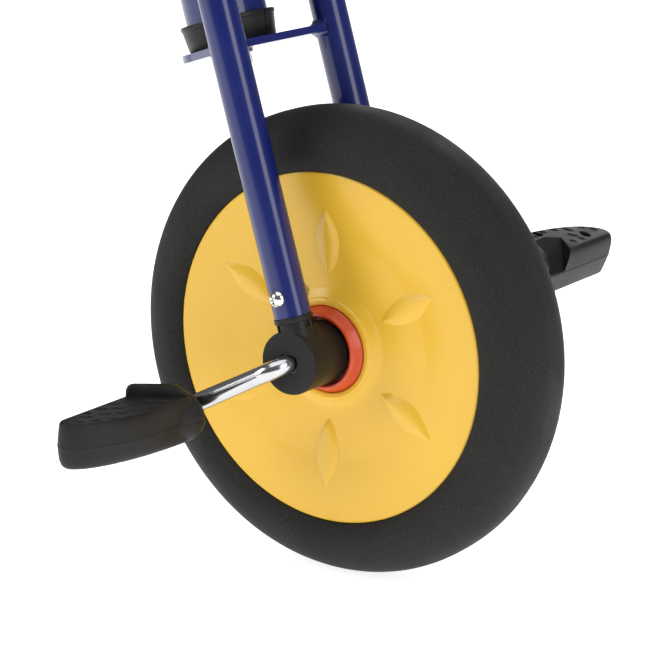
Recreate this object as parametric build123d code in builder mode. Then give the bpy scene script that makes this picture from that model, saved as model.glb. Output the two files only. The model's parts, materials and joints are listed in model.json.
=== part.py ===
"""Front wheel, fork and head of a nursery tricycle.

The frame is +X forward, +Y to the rider's left and +Z up, in millimetres. The origin is the middle of the
mouth of the frame socket, the short tube behind the head that takes the rest of the frame.
The fork turns about the leaning steering line, the wheel turns with the one-piece crank about the axle line,
and each pedal turns freely about its own end of the crank.
"""
import os
from math import cos, radians, sin

from build123d import *

RIGHT = -1
LEFT = 1
SIDES = {"right": RIGHT, "left": LEFT}

# Steering geometry
STEER_LEAN = 16.4
STEER_SETBACK = 35.6
LEG_SETFORWARD = 4.5
LEG_SPREAD = 57.3

# Clearances and fits
FIT = 0.03
RUNNING = 0.05
PLAY = 0.4

# Wheel and tyre
TYRE_R = 155.0
TYRE_HALF_W = 32.0
TYRE_SHOULDER_R = 28.7
RIM_R = 116.0
RIM_HALF_W = 27.8
RIM_WALL = 3.5
DISC_WALL = 3.0
RIM_BEVEL = 2.0
CREASE_R = 75.0
CREASE_Y = 24.2
DISH_R = 39.0
DISH_Y = 22.4
LIP_R = 34.0
LIP_Y = 26.9
LIP_SLOPE = 2.0

# Raised leaves on the discs
LEAF_COUNT = 6
LEAF_CENTRE_R = 71.0
LEAF_LENGTH = 51.0
LEAF_WIDTH = 17.5
LEAF_HEIGHT = 2.6
LEAF_BEVEL = 2.2

# Hub
COLLAR_R = 29.0
COLLAR_FLOOR_Y = 18.0
COLLAR_FLOOR = 3.5
COLLAR_SHOULDER_Y = 25.7
COLLAR_RIM_R = 25.2
COLLAR_RIM_Y = 33.4
HUB_R = 19.0
SLEEVE_HEX_R = 14.0
DRIVE_PIN_R = 3.0

# One-piece crank
ROD_R = 6.0
ROD_BEND_R = 13.0
CRANK_LENGTH = 84.0
CRANK_DROP = 27.8
CRANK_ARM_Y = 80.5

# Axle housings
HOUSING_R = 20.6
HOUSING_IN_Y = 30.0
HOUSING_OUT_Y = 68.0
HOUSING_FACE = 3.0
HOUSING_EDGE = 1.2
SPIGOT_LENGTH = 26.0

# Fork tubes and crown plates
LEG_R = 12.0
LEG_WALL = 2.0
LEG_END = 28.7
LEG_SCREW = 41.7
LEG_RISE = 45.0
PLATE_T = 5.0
PLATE_BOTTOM = 199.5
PLATE_FRONT = 3.0
WELD = 3.5

# Housing screws
SCREW_R = 3.0
SCREW_HEAD_R = 5.6
SCREW_HEAD_H = 3.6
NUT_FLATS_R = 5.6
NUT_H = 4.0

# Head tube, cups and steering bolt
HEAD_GAP = 120.0
HEAD_R = 27.0
HEAD_WALL = 2.5
CUP_LIP_H = 3.2
CUP_H = 17.4
CUP_FLOOR = 5.0
BOLT_R = 6.0
BOLT_HEAD_H = 7.0
BOLT_END = 3.0
STEER_NUT_H = 10.0
WASHER_T = 2.0
STEER_BUSH_FLANGE = 2.0
STEER_BUSH_L = 24.0

# Frame socket
SOCKET_REACH = 95.0
SOCKET_R = 21.0
SOCKET_WALL = 2.0
SOCKET_DEPTH = 45.0
SOCKET_STEP = 1.5

# Handlebar sockets
LINER_WALL = 1.8
LINER_DEPTH = 40.0
LINER_FLANGE = 2.6
CLAMP_SCREW_R = 2.5
CLAMP_HEAD_R = 5.0
CLAMP_HEAD_H = 4.0
CLAMP_DROP = 18.0

# Pedals
PEDAL_IN_Y = 92.0
PEDAL_LENGTH = 98.5
PEDAL_FRONT = 21.0
PEDAL_REAR = 17.4
PEDAL_NOSE_R = 8.4
PEDAL_CORNER = 6.0
PEDAL_TOP = 15.5
PEDAL_BASE = 15.0
PEDAL_WALL = 2.5
TREAD_BEVEL = 1.5
BASE_BEVEL = 3.0
RIGHT_PEDAL_TILT = 2.5
LEFT_PEDAL_TILT = 19.0
RIDGE_H = 7.0
RIDGE_T = 5.5
RIDGE_REAR = (15.0, 30.0)
RIDGE_FRONT = (-16.0, 4.3)
RIDGE_SLOPE = 5.0
GUARD_FRONT = 25.0
GUARD_REAR = 17.0
GUARD_R = 18.0
GUARD_REACH = 4.5
GUARD_T = 6.0
NOTCH_DEPTH = 8.5
NOTCH_END = 50.0
PEDAL_BUSH_L = 12.0
BUSH_STATIONS = (9.0, 45.0)
SPINDLE_END = 63.5
CAP_R = 8.5
CAP_T = 3.0
PEDAL_SCREW_R = 1.6
PEDAL_SCREW_HEAD_R = 3.0
PEDAL_SCREW_HEAD_H = 2.0
PEDAL_SCREW_SINK = 8.0
PEDAL_SCREW_L = 14.0
POST_R = 4.6
PEDAL_SCREW_PLACES = ((-11.5, 32.0), (5.0, 70.0))

# Sizes that follow from others
AXLE_BUSH_R = ROD_R + 4.0
HOUSING_MOUTH_R = ROD_R + 1.0
PEDAL_BUSH_R = ROD_R + 2.5
ROD_MOUTH_R = ROD_R + 1.5
GUARD_MOUTH_R = ROD_R + 4.5
COLLAR_BORE_R = HOUSING_R + 2.0
NECK_R = LEG_R + 0.6
LINER_BORE_R = LEG_R - LEG_WALL - LINER_WALL
LINER_FLANGE_R = LEG_R + 1.6
CUP_R = HEAD_R + 2.0
CUP_LIP_R = HEAD_R + 4.4
PLATE_TONGUE_R = HEAD_R + 7.6
STEER_BUSH_R = BOLT_R + 4.0
STEER_BUSH_FLANGE_R = BOLT_R + 9.0
BOLT_HEAD_R = BOLT_R + 5.0
STEER_NUT_R = BOLT_R + 5.0
WASHER_R = BOLT_R + 6.0

# Places worked out from the sizes
LEAN_S = sin(radians(STEER_LEAN))
LEAN_C = cos(radians(STEER_LEAN))
PLATE_TOP = PLATE_BOTTOM + PLATE_T
UPPER_PLATE_BOTTOM = PLATE_TOP + HEAD_GAP
UPPER_PLATE_TOP = UPPER_PLATE_BOTTOM + PLATE_T
LEG_TOP = UPPER_PLATE_TOP + LEG_RISE
HEAD_MIDDLE = PLATE_TOP + HEAD_GAP / 2
LEG_FORWARD = STEER_SETBACK + LEG_SETFORWARD
steer_foot = Vector(SOCKET_REACH + HEAD_MIDDLE * LEAN_S, 0, -HEAD_MIDDLE * LEAN_C)
steer = Plane(origin=steer_foot, x_dir=(LEAN_C, 0, LEAN_S), z_dir=(-LEAN_S, 0, LEAN_C))
wheel_centre = steer.from_local_coords(Vector(STEER_SETBACK, 0, 0))
wheel_plane = Plane(origin=wheel_centre, x_dir=(1, 0, 0), z_dir=(0, 0, 1))
axle_line = Axis(wheel_centre, (0, 1, 0))
steer_line = Axis(steer_foot, (-LEAN_S, 0, LEAN_C))
CRANK_X = CRANK_LENGTH * cos(radians(CRANK_DROP))
CRANK_Z = CRANK_LENGTH * sin(radians(CRANK_DROP))


def steer_plane(height, forward=0.0, across=0.0):
    """A plane square to the steering line, at a height along it."""
    origin = steer.from_local_coords(Vector(forward, across, height))
    return Plane(origin=origin, x_dir=steer.x_dir, z_dir=steer.z_dir)


def steer_section(forward=0.0, across=0.0):
    """A plane holding the steering direction, for profiles of (radius, height)."""
    origin = steer.from_local_coords(Vector(forward, across, 0))
    return Plane(origin=origin, x_dir=steer.x_dir, z_dir=-steer.y_dir)


def leg_line(side):
    """The middle line of one fork tube."""
    origin = steer.from_local_coords(Vector(LEG_FORWARD, side * LEG_SPREAD, 0))
    return Axis(origin, steer.z_dir)


def across_plane(height, side, out_y=0.0, forward=LEG_FORWARD):
    """A plane facing out to one side, at a height up the fork."""
    origin = steer.from_local_coords(Vector(forward, side * out_y, height))
    return Plane(origin=origin, x_dir=steer.x_dir, z_dir=(0, side, 0))


def save(builder, name):
    """Label a finished piece and write it."""
    builder.part.label = name
    export_step(builder.part, f"parts/{name}.step")


def make_tyre():
    """The solid foam tyre, round over the top and tucked in at the rim."""
    shoulder_r = TYRE_R - TYRE_SHOULDER_R
    shoulder_y = TYRE_HALF_W - TYRE_SHOULDER_R
    mid = TYRE_SHOULDER_R * cos(radians(45))
    with BuildPart() as tyre:
        with BuildSketch(wheel_plane):
            with BuildLine():
                Line((RIM_R + FIT, -RIM_HALF_W), (RIM_R + FIT, RIM_HALF_W))
                for side in (LEFT, RIGHT):
                    wide = (shoulder_r, side * TYRE_HALF_W)
                    bead = (RIM_R + FIT, side * RIM_HALF_W)
                    tuck = ((wide[0] + bead[0]) / 2 - 0.8, side * ((TYRE_HALF_W + RIM_HALF_W) / 2 + 0.8))
                    crown = (TYRE_R, side * shoulder_y)
                    ThreePointArc(bead, tuck, wide)
                    ThreePointArc(wide, (shoulder_r + mid, side * (shoulder_y + mid)), crown)
                Line((TYRE_R, -shoulder_y), (TYRE_R, shoulder_y))
            make_face()
        revolve(axis=axle_line)
    save(tyre, "tyre")


def make_disc(name, side):
    """One half of the wheel: a dished disc with its half of the rim, six leaves and a lipped hub pocket."""
    inner_r = RIM_R - RIM_WALL
    slope = (RIM_HALF_W - CREASE_Y) / (RIM_R - RIM_BEVEL - CREASE_R)
    points = [
        (RIM_R, 0),
        (RIM_R, RIM_HALF_W - RIM_BEVEL),
        (RIM_R - RIM_BEVEL, RIM_HALF_W),
        (CREASE_R, CREASE_Y),
        (DISH_R, DISH_Y),
        (LIP_R, LIP_Y - LIP_SLOPE),
        (LIP_R - 1.0, LIP_Y),
        (COLLAR_R + FIT, LIP_Y),
        (COLLAR_R + FIT, COLLAR_FLOOR_Y),
        (SLEEVE_HEX_R / 2, COLLAR_FLOOR_Y),
        (SLEEVE_HEX_R / 2, 0),
        (HUB_R, 0),
        (HUB_R, COLLAR_FLOOR_Y - DISC_WALL),
        (COLLAR_R + DISC_WALL, COLLAR_FLOOR_Y - DISC_WALL),
        (COLLAR_R + DISC_WALL, DISH_Y - DISC_WALL),
        (DISH_R, DISH_Y - DISC_WALL),
        (CREASE_R, CREASE_Y - DISC_WALL),
        (inner_r, CREASE_Y - DISC_WALL + slope * (inner_r - CREASE_R)),
        (inner_r, 0),
    ]
    leaf_lift = CREASE_Y - DISC_WALL / 2
    half_l, half_w = LEAF_LENGTH / 2, LEAF_WIDTH / 2
    base = Plane(origin=wheel_centre, x_dir=(0, 0, 1), z_dir=(0, side, 0))
    with BuildPart() as leaf:
        with BuildSketch():
            with BuildLine():
                ThreePointArc((-half_l, 0), (0, half_w), (half_l, 0))
                ThreePointArc((half_l, 0), (0, -half_w), (-half_l, 0))
            make_face()
        extrude(amount=LEAF_HEIGHT + DISC_WALL / 2)
        chamfer(leaf.faces().sort_by(Axis.Z)[-1].edges(), LEAF_BEVEL)
    with BuildPart() as disc:
        with BuildSketch(wheel_plane):
            with BuildLine():
                Polyline(*[(r, side * y) for r, y in points], close=True)
            make_face()
        revolve(axis=axle_line)
        with Locations(base.offset(leaf_lift)):
            with PolarLocations(LEAF_CENTRE_R, LEAF_COUNT):
                add(leaf.part)
        with BuildSketch(base):
            RegularPolygon(SLEEVE_HEX_R + FIT, 6)
        extrude(amount=COLLAR_FLOOR_Y + 1, mode=Mode.SUBTRACT)
    save(disc, name)


def make_collar(name, side):
    """The bright ring that guards the gap between the turning hub and the still housing."""
    points = [
        (SLEEVE_HEX_R + 1, COLLAR_FLOOR_Y),
        (COLLAR_R, COLLAR_FLOOR_Y),
        (COLLAR_R, COLLAR_SHOULDER_Y),
        (COLLAR_RIM_R, COLLAR_RIM_Y - 1),
        (COLLAR_RIM_R - 1, COLLAR_RIM_Y),
        (COLLAR_BORE_R, COLLAR_RIM_Y),
        (COLLAR_BORE_R, COLLAR_FLOOR_Y + COLLAR_FLOOR),
        (SLEEVE_HEX_R + 1, COLLAR_FLOOR_Y + COLLAR_FLOOR),
    ]
    with BuildPart() as collar:
        with BuildSketch(wheel_plane):
            with BuildLine():
                Polyline(*[(r, side * y) for r, y in points], close=True)
            make_face()
        revolve(axis=axle_line)
    save(collar, name)


def make_hub_sleeve():
    """The six-sided steel sleeve that the crank rod drives and both discs sit on."""
    base = Plane(origin=wheel_centre, x_dir=(0, 0, 1), z_dir=(0, 1, 0))
    reach = COLLAR_FLOOR_Y - FIT
    with BuildPart() as sleeve:
        with BuildSketch(base.offset(-reach)):
            RegularPolygon(SLEEVE_HEX_R, 6)
            Circle(ROD_R + FIT, mode=Mode.SUBTRACT)
        extrude(amount=2 * reach)
        with BuildSketch(wheel_plane):
            Circle(DRIVE_PIN_R + FIT)
        extrude(amount=SLEEVE_HEX_R + 1, both=True, mode=Mode.SUBTRACT)
    save(sleeve, "hub_sleeve")


def make_drive_pin():
    """The cross pin that locks the sleeve to the rod."""
    reach = SLEEVE_HEX_R * cos(radians(30)) - 0.5
    with BuildPart() as pin:
        with BuildSketch(wheel_plane.offset(-reach)):
            Circle(DRIVE_PIN_R)
        extrude(amount=2 * reach)
    save(pin, "drive_pin")


def make_crank():
    """The one-piece crank: a round rod with an arm bent at each end and a spindle for each pedal."""
    end_y = PEDAL_IN_Y + SPINDLE_END
    path = [
        (-CRANK_X, -end_y, -CRANK_Z),
        (-CRANK_X, -CRANK_ARM_Y, -CRANK_Z),
        (0, -CRANK_ARM_Y, 0),
        (0, CRANK_ARM_Y, 0),
        (CRANK_X, CRANK_ARM_Y, CRANK_Z),
        (CRANK_X, end_y, CRANK_Z),
    ]
    with BuildPart() as crank:
        with BuildLine():
            FilletPolyline(*[wheel_centre + Vector(*point) for point in path], radius=ROD_BEND_R)
        with BuildSketch(Plane(origin=wheel_centre + Vector(*path[0]), z_dir=(0, 1, 0))):
            Circle(ROD_R)
        sweep()
        with BuildSketch(wheel_plane):
            Circle(DRIVE_PIN_R + FIT)
        extrude(amount=ROD_R + 1, both=True, mode=Mode.SUBTRACT)
    save(crank, "crank_rod")


def make_spacers():
    """A thin tube on the rod each side, which keeps the wheel in the middle of the fork."""
    start = COLLAR_FLOOR_Y + FIT
    end = HOUSING_IN_Y - PLAY
    with BuildPart() as spacers:
        for side in SIDES.values():
            with BuildSketch(Plane(origin=wheel_centre, z_dir=(0, side, 0)).offset(start)):
                Circle(SLEEVE_HEX_R - 2)
                Circle(ROD_R + FIT, mode=Mode.SUBTRACT)
            extrude(amount=end - start)
    save(spacers, "axle_spacers")


def make_housing(hand, side):
    """The black axle housing, whose neck plugs into the foot of its fork tube, and the bush inside it."""
    outward = Plane(origin=wheel_centre, z_dir=(0, side, 0))
    screw = across_plane(LEG_SCREW, side, LEG_SPREAD)
    with BuildPart() as housing:
        with BuildSketch(outward.offset(HOUSING_IN_Y)):
            Circle(HOUSING_R)
        extrude(amount=HOUSING_OUT_Y - HOUSING_IN_Y)
        rims = housing.edges().filter_by(GeomType.CIRCLE)
        chamfer(rims, HOUSING_EDGE)
        with BuildSketch(steer_plane(0, LEG_FORWARD, side * LEG_SPREAD)):
            Circle(NECK_R)
        extrude(amount=LEG_END)
        with BuildSketch(steer_plane(LEG_END, LEG_FORWARD, side * LEG_SPREAD)):
            Circle(LEG_R - LEG_WALL - FIT)
        extrude(amount=SPIGOT_LENGTH)
        with BuildSketch(outward.offset(HOUSING_OUT_Y)):
            Circle(HOUSING_R - HOUSING_EDGE)
        extrude(amount=HOUSING_R, mode=Mode.SUBTRACT)
        with BuildSketch(outward.offset(HOUSING_IN_Y)):
            Circle(AXLE_BUSH_R + FIT)
        extrude(amount=HOUSING_OUT_Y - HOUSING_IN_Y - HOUSING_FACE, mode=Mode.SUBTRACT)
        with BuildSketch(outward.offset(HOUSING_IN_Y)):
            Circle(HOUSING_MOUTH_R)
        extrude(amount=HOUSING_OUT_Y, mode=Mode.SUBTRACT)
        with BuildSketch(screw):
            Circle(SCREW_R + FIT)
        extrude(amount=LEG_R, both=True, mode=Mode.SUBTRACT)
    save(housing, f"{hand}_axle_housing")
    with BuildPart() as bush:
        with BuildSketch(outward.offset(HOUSING_IN_Y)):
            Circle(AXLE_BUSH_R)
            Circle(ROD_R + RUNNING, mode=Mode.SUBTRACT)
        extrude(amount=HOUSING_OUT_Y - HOUSING_IN_Y - HOUSING_FACE)
    save(bush, f"{hand}_axle_bush")


def make_fork_tube(hand, side):
    """One straight fork tube, open at the top for the handlebar."""
    clamp = steer_plane(LEG_TOP - CLAMP_DROP, LEG_FORWARD, side * LEG_SPREAD)
    rearward = Plane(origin=clamp.origin, z_dir=-steer.x_dir)
    with BuildPart() as tube:
        with BuildSketch(steer_plane(LEG_END, LEG_FORWARD, side * LEG_SPREAD)):
            Circle(LEG_R)
            Circle(LEG_R - LEG_WALL, mode=Mode.SUBTRACT)
        extrude(amount=LEG_TOP - LEG_END)
        with BuildSketch(across_plane(LEG_SCREW, side, LEG_SPREAD)):
            Circle(SCREW_R + FIT)
        extrude(amount=LEG_R + 1, both=True, mode=Mode.SUBTRACT)
        with BuildSketch(rearward):
            Circle(CLAMP_SCREW_R + FIT)
        extrude(amount=LEG_R + 1, mode=Mode.SUBTRACT)
    save(tube, f"{hand}_fork_tube")
    with BuildPart() as liner:
        with BuildSketch(steer_plane(LEG_TOP - LINER_DEPTH, LEG_FORWARD, side * LEG_SPREAD)):
            Circle(LEG_R - LEG_WALL - FIT)
        extrude(amount=LINER_DEPTH)
        with BuildSketch(steer_plane(LEG_TOP, LEG_FORWARD, side * LEG_SPREAD)):
            Circle(LINER_FLANGE_R)
        extrude(amount=LINER_FLANGE)
        with BuildSketch(steer_plane(LEG_TOP - LINER_DEPTH, LEG_FORWARD, side * LEG_SPREAD)):
            Circle(LINER_BORE_R)
        extrude(amount=LINER_DEPTH + LINER_FLANGE, mode=Mode.SUBTRACT)
        with BuildSketch(rearward):
            Circle(CLAMP_SCREW_R + FIT)
        extrude(amount=LEG_R, mode=Mode.SUBTRACT)
    save(liner, f"{hand}_socket_liner")


def make_clamp_screws():
    """The screws that grip the handlebar ends, backed off to leave both sockets clear."""
    with BuildPart() as screws:
        for side in SIDES.values():
            clamp = steer_plane(LEG_TOP - CLAMP_DROP, LEG_FORWARD, side * LEG_SPREAD)
            rearward = Plane(origin=clamp.origin, z_dir=-steer.x_dir)
            with BuildSketch(rearward.offset(LINER_BORE_R + PLAY)):
                Circle(CLAMP_SCREW_R)
            extrude(amount=LEG_R + CLAMP_HEAD_H - LINER_BORE_R - PLAY)
            with BuildSketch(rearward.offset(LEG_R + FIT)):
                Circle(CLAMP_HEAD_R)
            extrude(amount=CLAMP_HEAD_H)
    save(screws, "clamp_screws")


def make_plate(name, bottom):
    """A crown plate: a rounded tongue round the head, wide at the front where the fork tubes are welded on."""
    level = steer_plane(bottom)
    with BuildPart() as plate:
        with BuildSketch(level):
            Circle(PLATE_TONGUE_R)
            with BuildLine():
                Polyline(
                    (LEG_FORWARD + PLATE_FRONT, -LEG_SPREAD),
                    (LEG_FORWARD + PLATE_FRONT, LEG_SPREAD),
                    (LEG_FORWARD - LEG_R / 2, LEG_SPREAD),
                    (-PLATE_TONGUE_R / 3, PLATE_TONGUE_R * 0.94),
                    (-PLATE_TONGUE_R / 3, -PLATE_TONGUE_R * 0.94),
                    (LEG_FORWARD - LEG_R / 2, -LEG_SPREAD),
                    close=True,
                )
            make_face()
            Circle(BOLT_R + FIT, mode=Mode.SUBTRACT)
            with Locations((LEG_FORWARD, -LEG_SPREAD), (LEG_FORWARD, LEG_SPREAD)):
                Circle(LEG_R + FIT, mode=Mode.SUBTRACT)
        extrude(amount=PLATE_T)
    save(plate, name)


def make_welds():
    """Weld fillets round the fork tubes, above and below each crown plate, on the plate's side only."""
    with BuildPart() as welds:
        for side in SIDES.values():
            for level, up in (
                (PLATE_BOTTOM, -1),
                (PLATE_TOP, 1),
                (UPPER_PLATE_BOTTOM, -1),
                (UPPER_PLATE_TOP, 1),
            ):
                with BuildSketch(steer_section(LEG_FORWARD, side * LEG_SPREAD)):
                    with BuildLine():
                        Polyline(
                            (LEG_R + FIT, level),
                            (LEG_R + WELD, level),
                            (LEG_R + FIT, level + up * WELD),
                            close=True,
                        )
                    make_face()
                revolve(axis=leg_line(side))
        keep = Plane(origin=steer_foot, x_dir=steer.x_dir, z_dir=steer.z_dir)
        with BuildSketch(keep):
            with Locations((LEG_FORWARD - LEG_R, 0)):
                Rectangle(2 * (LEG_R + PLATE_FRONT), 2 * LEG_SPREAD)
        extrude(amount=LEG_TOP, mode=Mode.INTERSECT)
    save(welds, "crown_welds")


def make_housing_screws():
    """A domed screw through each fork foot and housing neck, and its nut on the inner side."""
    with BuildPart() as screws:
        for side in SIDES.values():
            shank = across_plane(LEG_SCREW, side, LEG_SPREAD)
            with BuildSketch(shank.offset(-LEG_R - NUT_H)):
                Circle(SCREW_R)
            extrude(amount=2 * LEG_R + NUT_H + 0.5)
            with BuildSketch(shank.offset(LEG_R + FIT)):
                Circle(SCREW_HEAD_R)
            extrude(amount=SCREW_HEAD_H)
            crown_edge = screws.edges().filter_by(GeomType.CIRCLE).sort_by(Axis((0, 0, 0), (0, side, 0)))[-1]
            fillet(crown_edge, SCREW_HEAD_H * 0.8)
    save(screws, "housing_screws")
    with BuildPart() as nuts:
        for side in SIDES.values():
            seat = across_plane(LEG_SCREW, side, LEG_SPREAD).offset(-LEG_R - NUT_H)
            with BuildSketch(seat):
                RegularPolygon(NUT_FLATS_R, 6)
                Circle(SCREW_R + FIT, mode=Mode.SUBTRACT)
            extrude(amount=NUT_H - FIT)
    save(nuts, "housing_nuts")


def make_cup(name, seat, up):
    """A plastic head cup: a lipped dish that holds one end of the head tube."""
    base = seat + up * PLAY
    points = [
        (STEER_BUSH_R + FIT, 0),
        (CUP_R, 0),
        (CUP_LIP_R - 0.6, CUP_H - CUP_LIP_H),
        (CUP_LIP_R, CUP_H - CUP_LIP_H),
        (CUP_LIP_R, CUP_H),
        (HEAD_R + FIT, CUP_H),
        (HEAD_R + FIT, CUP_FLOOR),
        (STEER_BUSH_R + FIT, CUP_FLOOR),
    ]
    with BuildPart() as cup:
        with BuildSketch(steer_section()):
            with BuildLine():
                Polyline(*[(r, base + up * h) for r, h in points], close=True)
            make_face()
        revolve(axis=steer_line)
    save(cup, name)


def make_steering_bush(name, seat, up):
    """The nylon bush in a head cup, flanged on the cup's floor, that the steering bolt turns in."""
    base = seat + up * PLAY
    top = CUP_FLOOR + FIT
    points = [
        (BOLT_R + RUNNING, 0),
        (STEER_BUSH_R, 0),
        (STEER_BUSH_R, top),
        (STEER_BUSH_FLANGE_R, top),
        (STEER_BUSH_FLANGE_R, top + STEER_BUSH_FLANGE),
        (STEER_BUSH_R, top + STEER_BUSH_FLANGE),
        (STEER_BUSH_R, STEER_BUSH_L),
        (BOLT_R + RUNNING, STEER_BUSH_L),
    ]
    with BuildPart() as bush:
        with BuildSketch(steer_section()):
            with BuildLine():
                Polyline(*[(r, base + up * h) for r, h in points], close=True)
            make_face()
        revolve(axis=steer_line)
    save(bush, name)


def make_head_tube():
    """The wide head tube, between the floors of its two cups."""
    start = PLATE_TOP + PLAY + CUP_FLOOR + FIT
    end = UPPER_PLATE_BOTTOM - PLAY - CUP_FLOOR - FIT
    with BuildPart() as head:
        with BuildSketch(steer_plane(start)):
            Circle(HEAD_R)
            Circle(HEAD_R - HEAD_WALL, mode=Mode.SUBTRACT)
        extrude(amount=end - start)
    save(head, "head_tube")


def make_frame_socket():
    """The level socket tube, shaped to the head tube it is welded to, with a shoulder at the socket's end."""
    with BuildPart() as socket:
        with BuildSketch(Plane.YZ):
            Circle(SOCKET_R)
        extrude(amount=SOCKET_REACH)
        with BuildSketch(steer_plane(0)):
            Circle(HEAD_R + FIT)
        extrude(amount=UPPER_PLATE_TOP, mode=Mode.SUBTRACT)
        with BuildSketch(Plane.YZ):
            Circle(SOCKET_R - SOCKET_WALL)
        extrude(amount=SOCKET_DEPTH, mode=Mode.SUBTRACT)
        with BuildSketch(Plane.YZ.offset(SOCKET_DEPTH)):
            Circle(SOCKET_R - SOCKET_WALL - SOCKET_STEP)
        extrude(amount=SOCKET_REACH, mode=Mode.SUBTRACT)
    save(socket, "frame_socket_tube")


def make_steering_bolt():
    """The bolt on the steering line, with its washers and nut."""
    end = UPPER_PLATE_TOP + WASHER_T + STEER_NUT_H
    with BuildPart() as bolt:
        with BuildSketch(steer_plane(PLATE_BOTTOM - WASHER_T - BOLT_HEAD_H)):
            RegularPolygon(BOLT_HEAD_R, 6)
        extrude(amount=BOLT_HEAD_H - FIT)
        with BuildSketch(steer_plane(PLATE_BOTTOM - WASHER_T - BOLT_HEAD_H)):
            Circle(BOLT_R)
        extrude(amount=end + BOLT_END - (PLATE_BOTTOM - WASHER_T - BOLT_HEAD_H))
    save(bolt, "steering_bolt")
    with BuildPart() as washers:
        for level in (PLATE_BOTTOM - WASHER_T, UPPER_PLATE_TOP + FIT):
            with BuildSketch(steer_plane(level)):
                Circle(WASHER_R)
                Circle(BOLT_R + FIT, mode=Mode.SUBTRACT)
            extrude(amount=WASHER_T - FIT)
    save(washers, "steering_washers")
    with BuildPart() as nut:
        with BuildSketch(steer_plane(UPPER_PLATE_TOP + WASHER_T + FIT)):
            RegularPolygon(STEER_NUT_R, 6)
            Circle(BOLT_R + FIT, mode=Mode.SUBTRACT)
        extrude(amount=STEER_NUT_H - FIT)
    save(nut, "steering_nut")


def pedal_plane(side, tilt, flipped):
    """The plane of a pedal's parting line: x to its ridge edge, z to its tread side, origin at its inner end."""
    turn = radians(tilt)
    up = Vector(sin(turn), 0, cos(turn))
    back = Vector(-cos(turn), 0, sin(turn))
    if flipped:
        up, back = -up, -back
    spindle = Vector(side * CRANK_X, side * PEDAL_IN_Y, side * CRANK_Z)
    return Plane(origin=wheel_centre + spindle, x_dir=back, z_dir=up)


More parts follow.
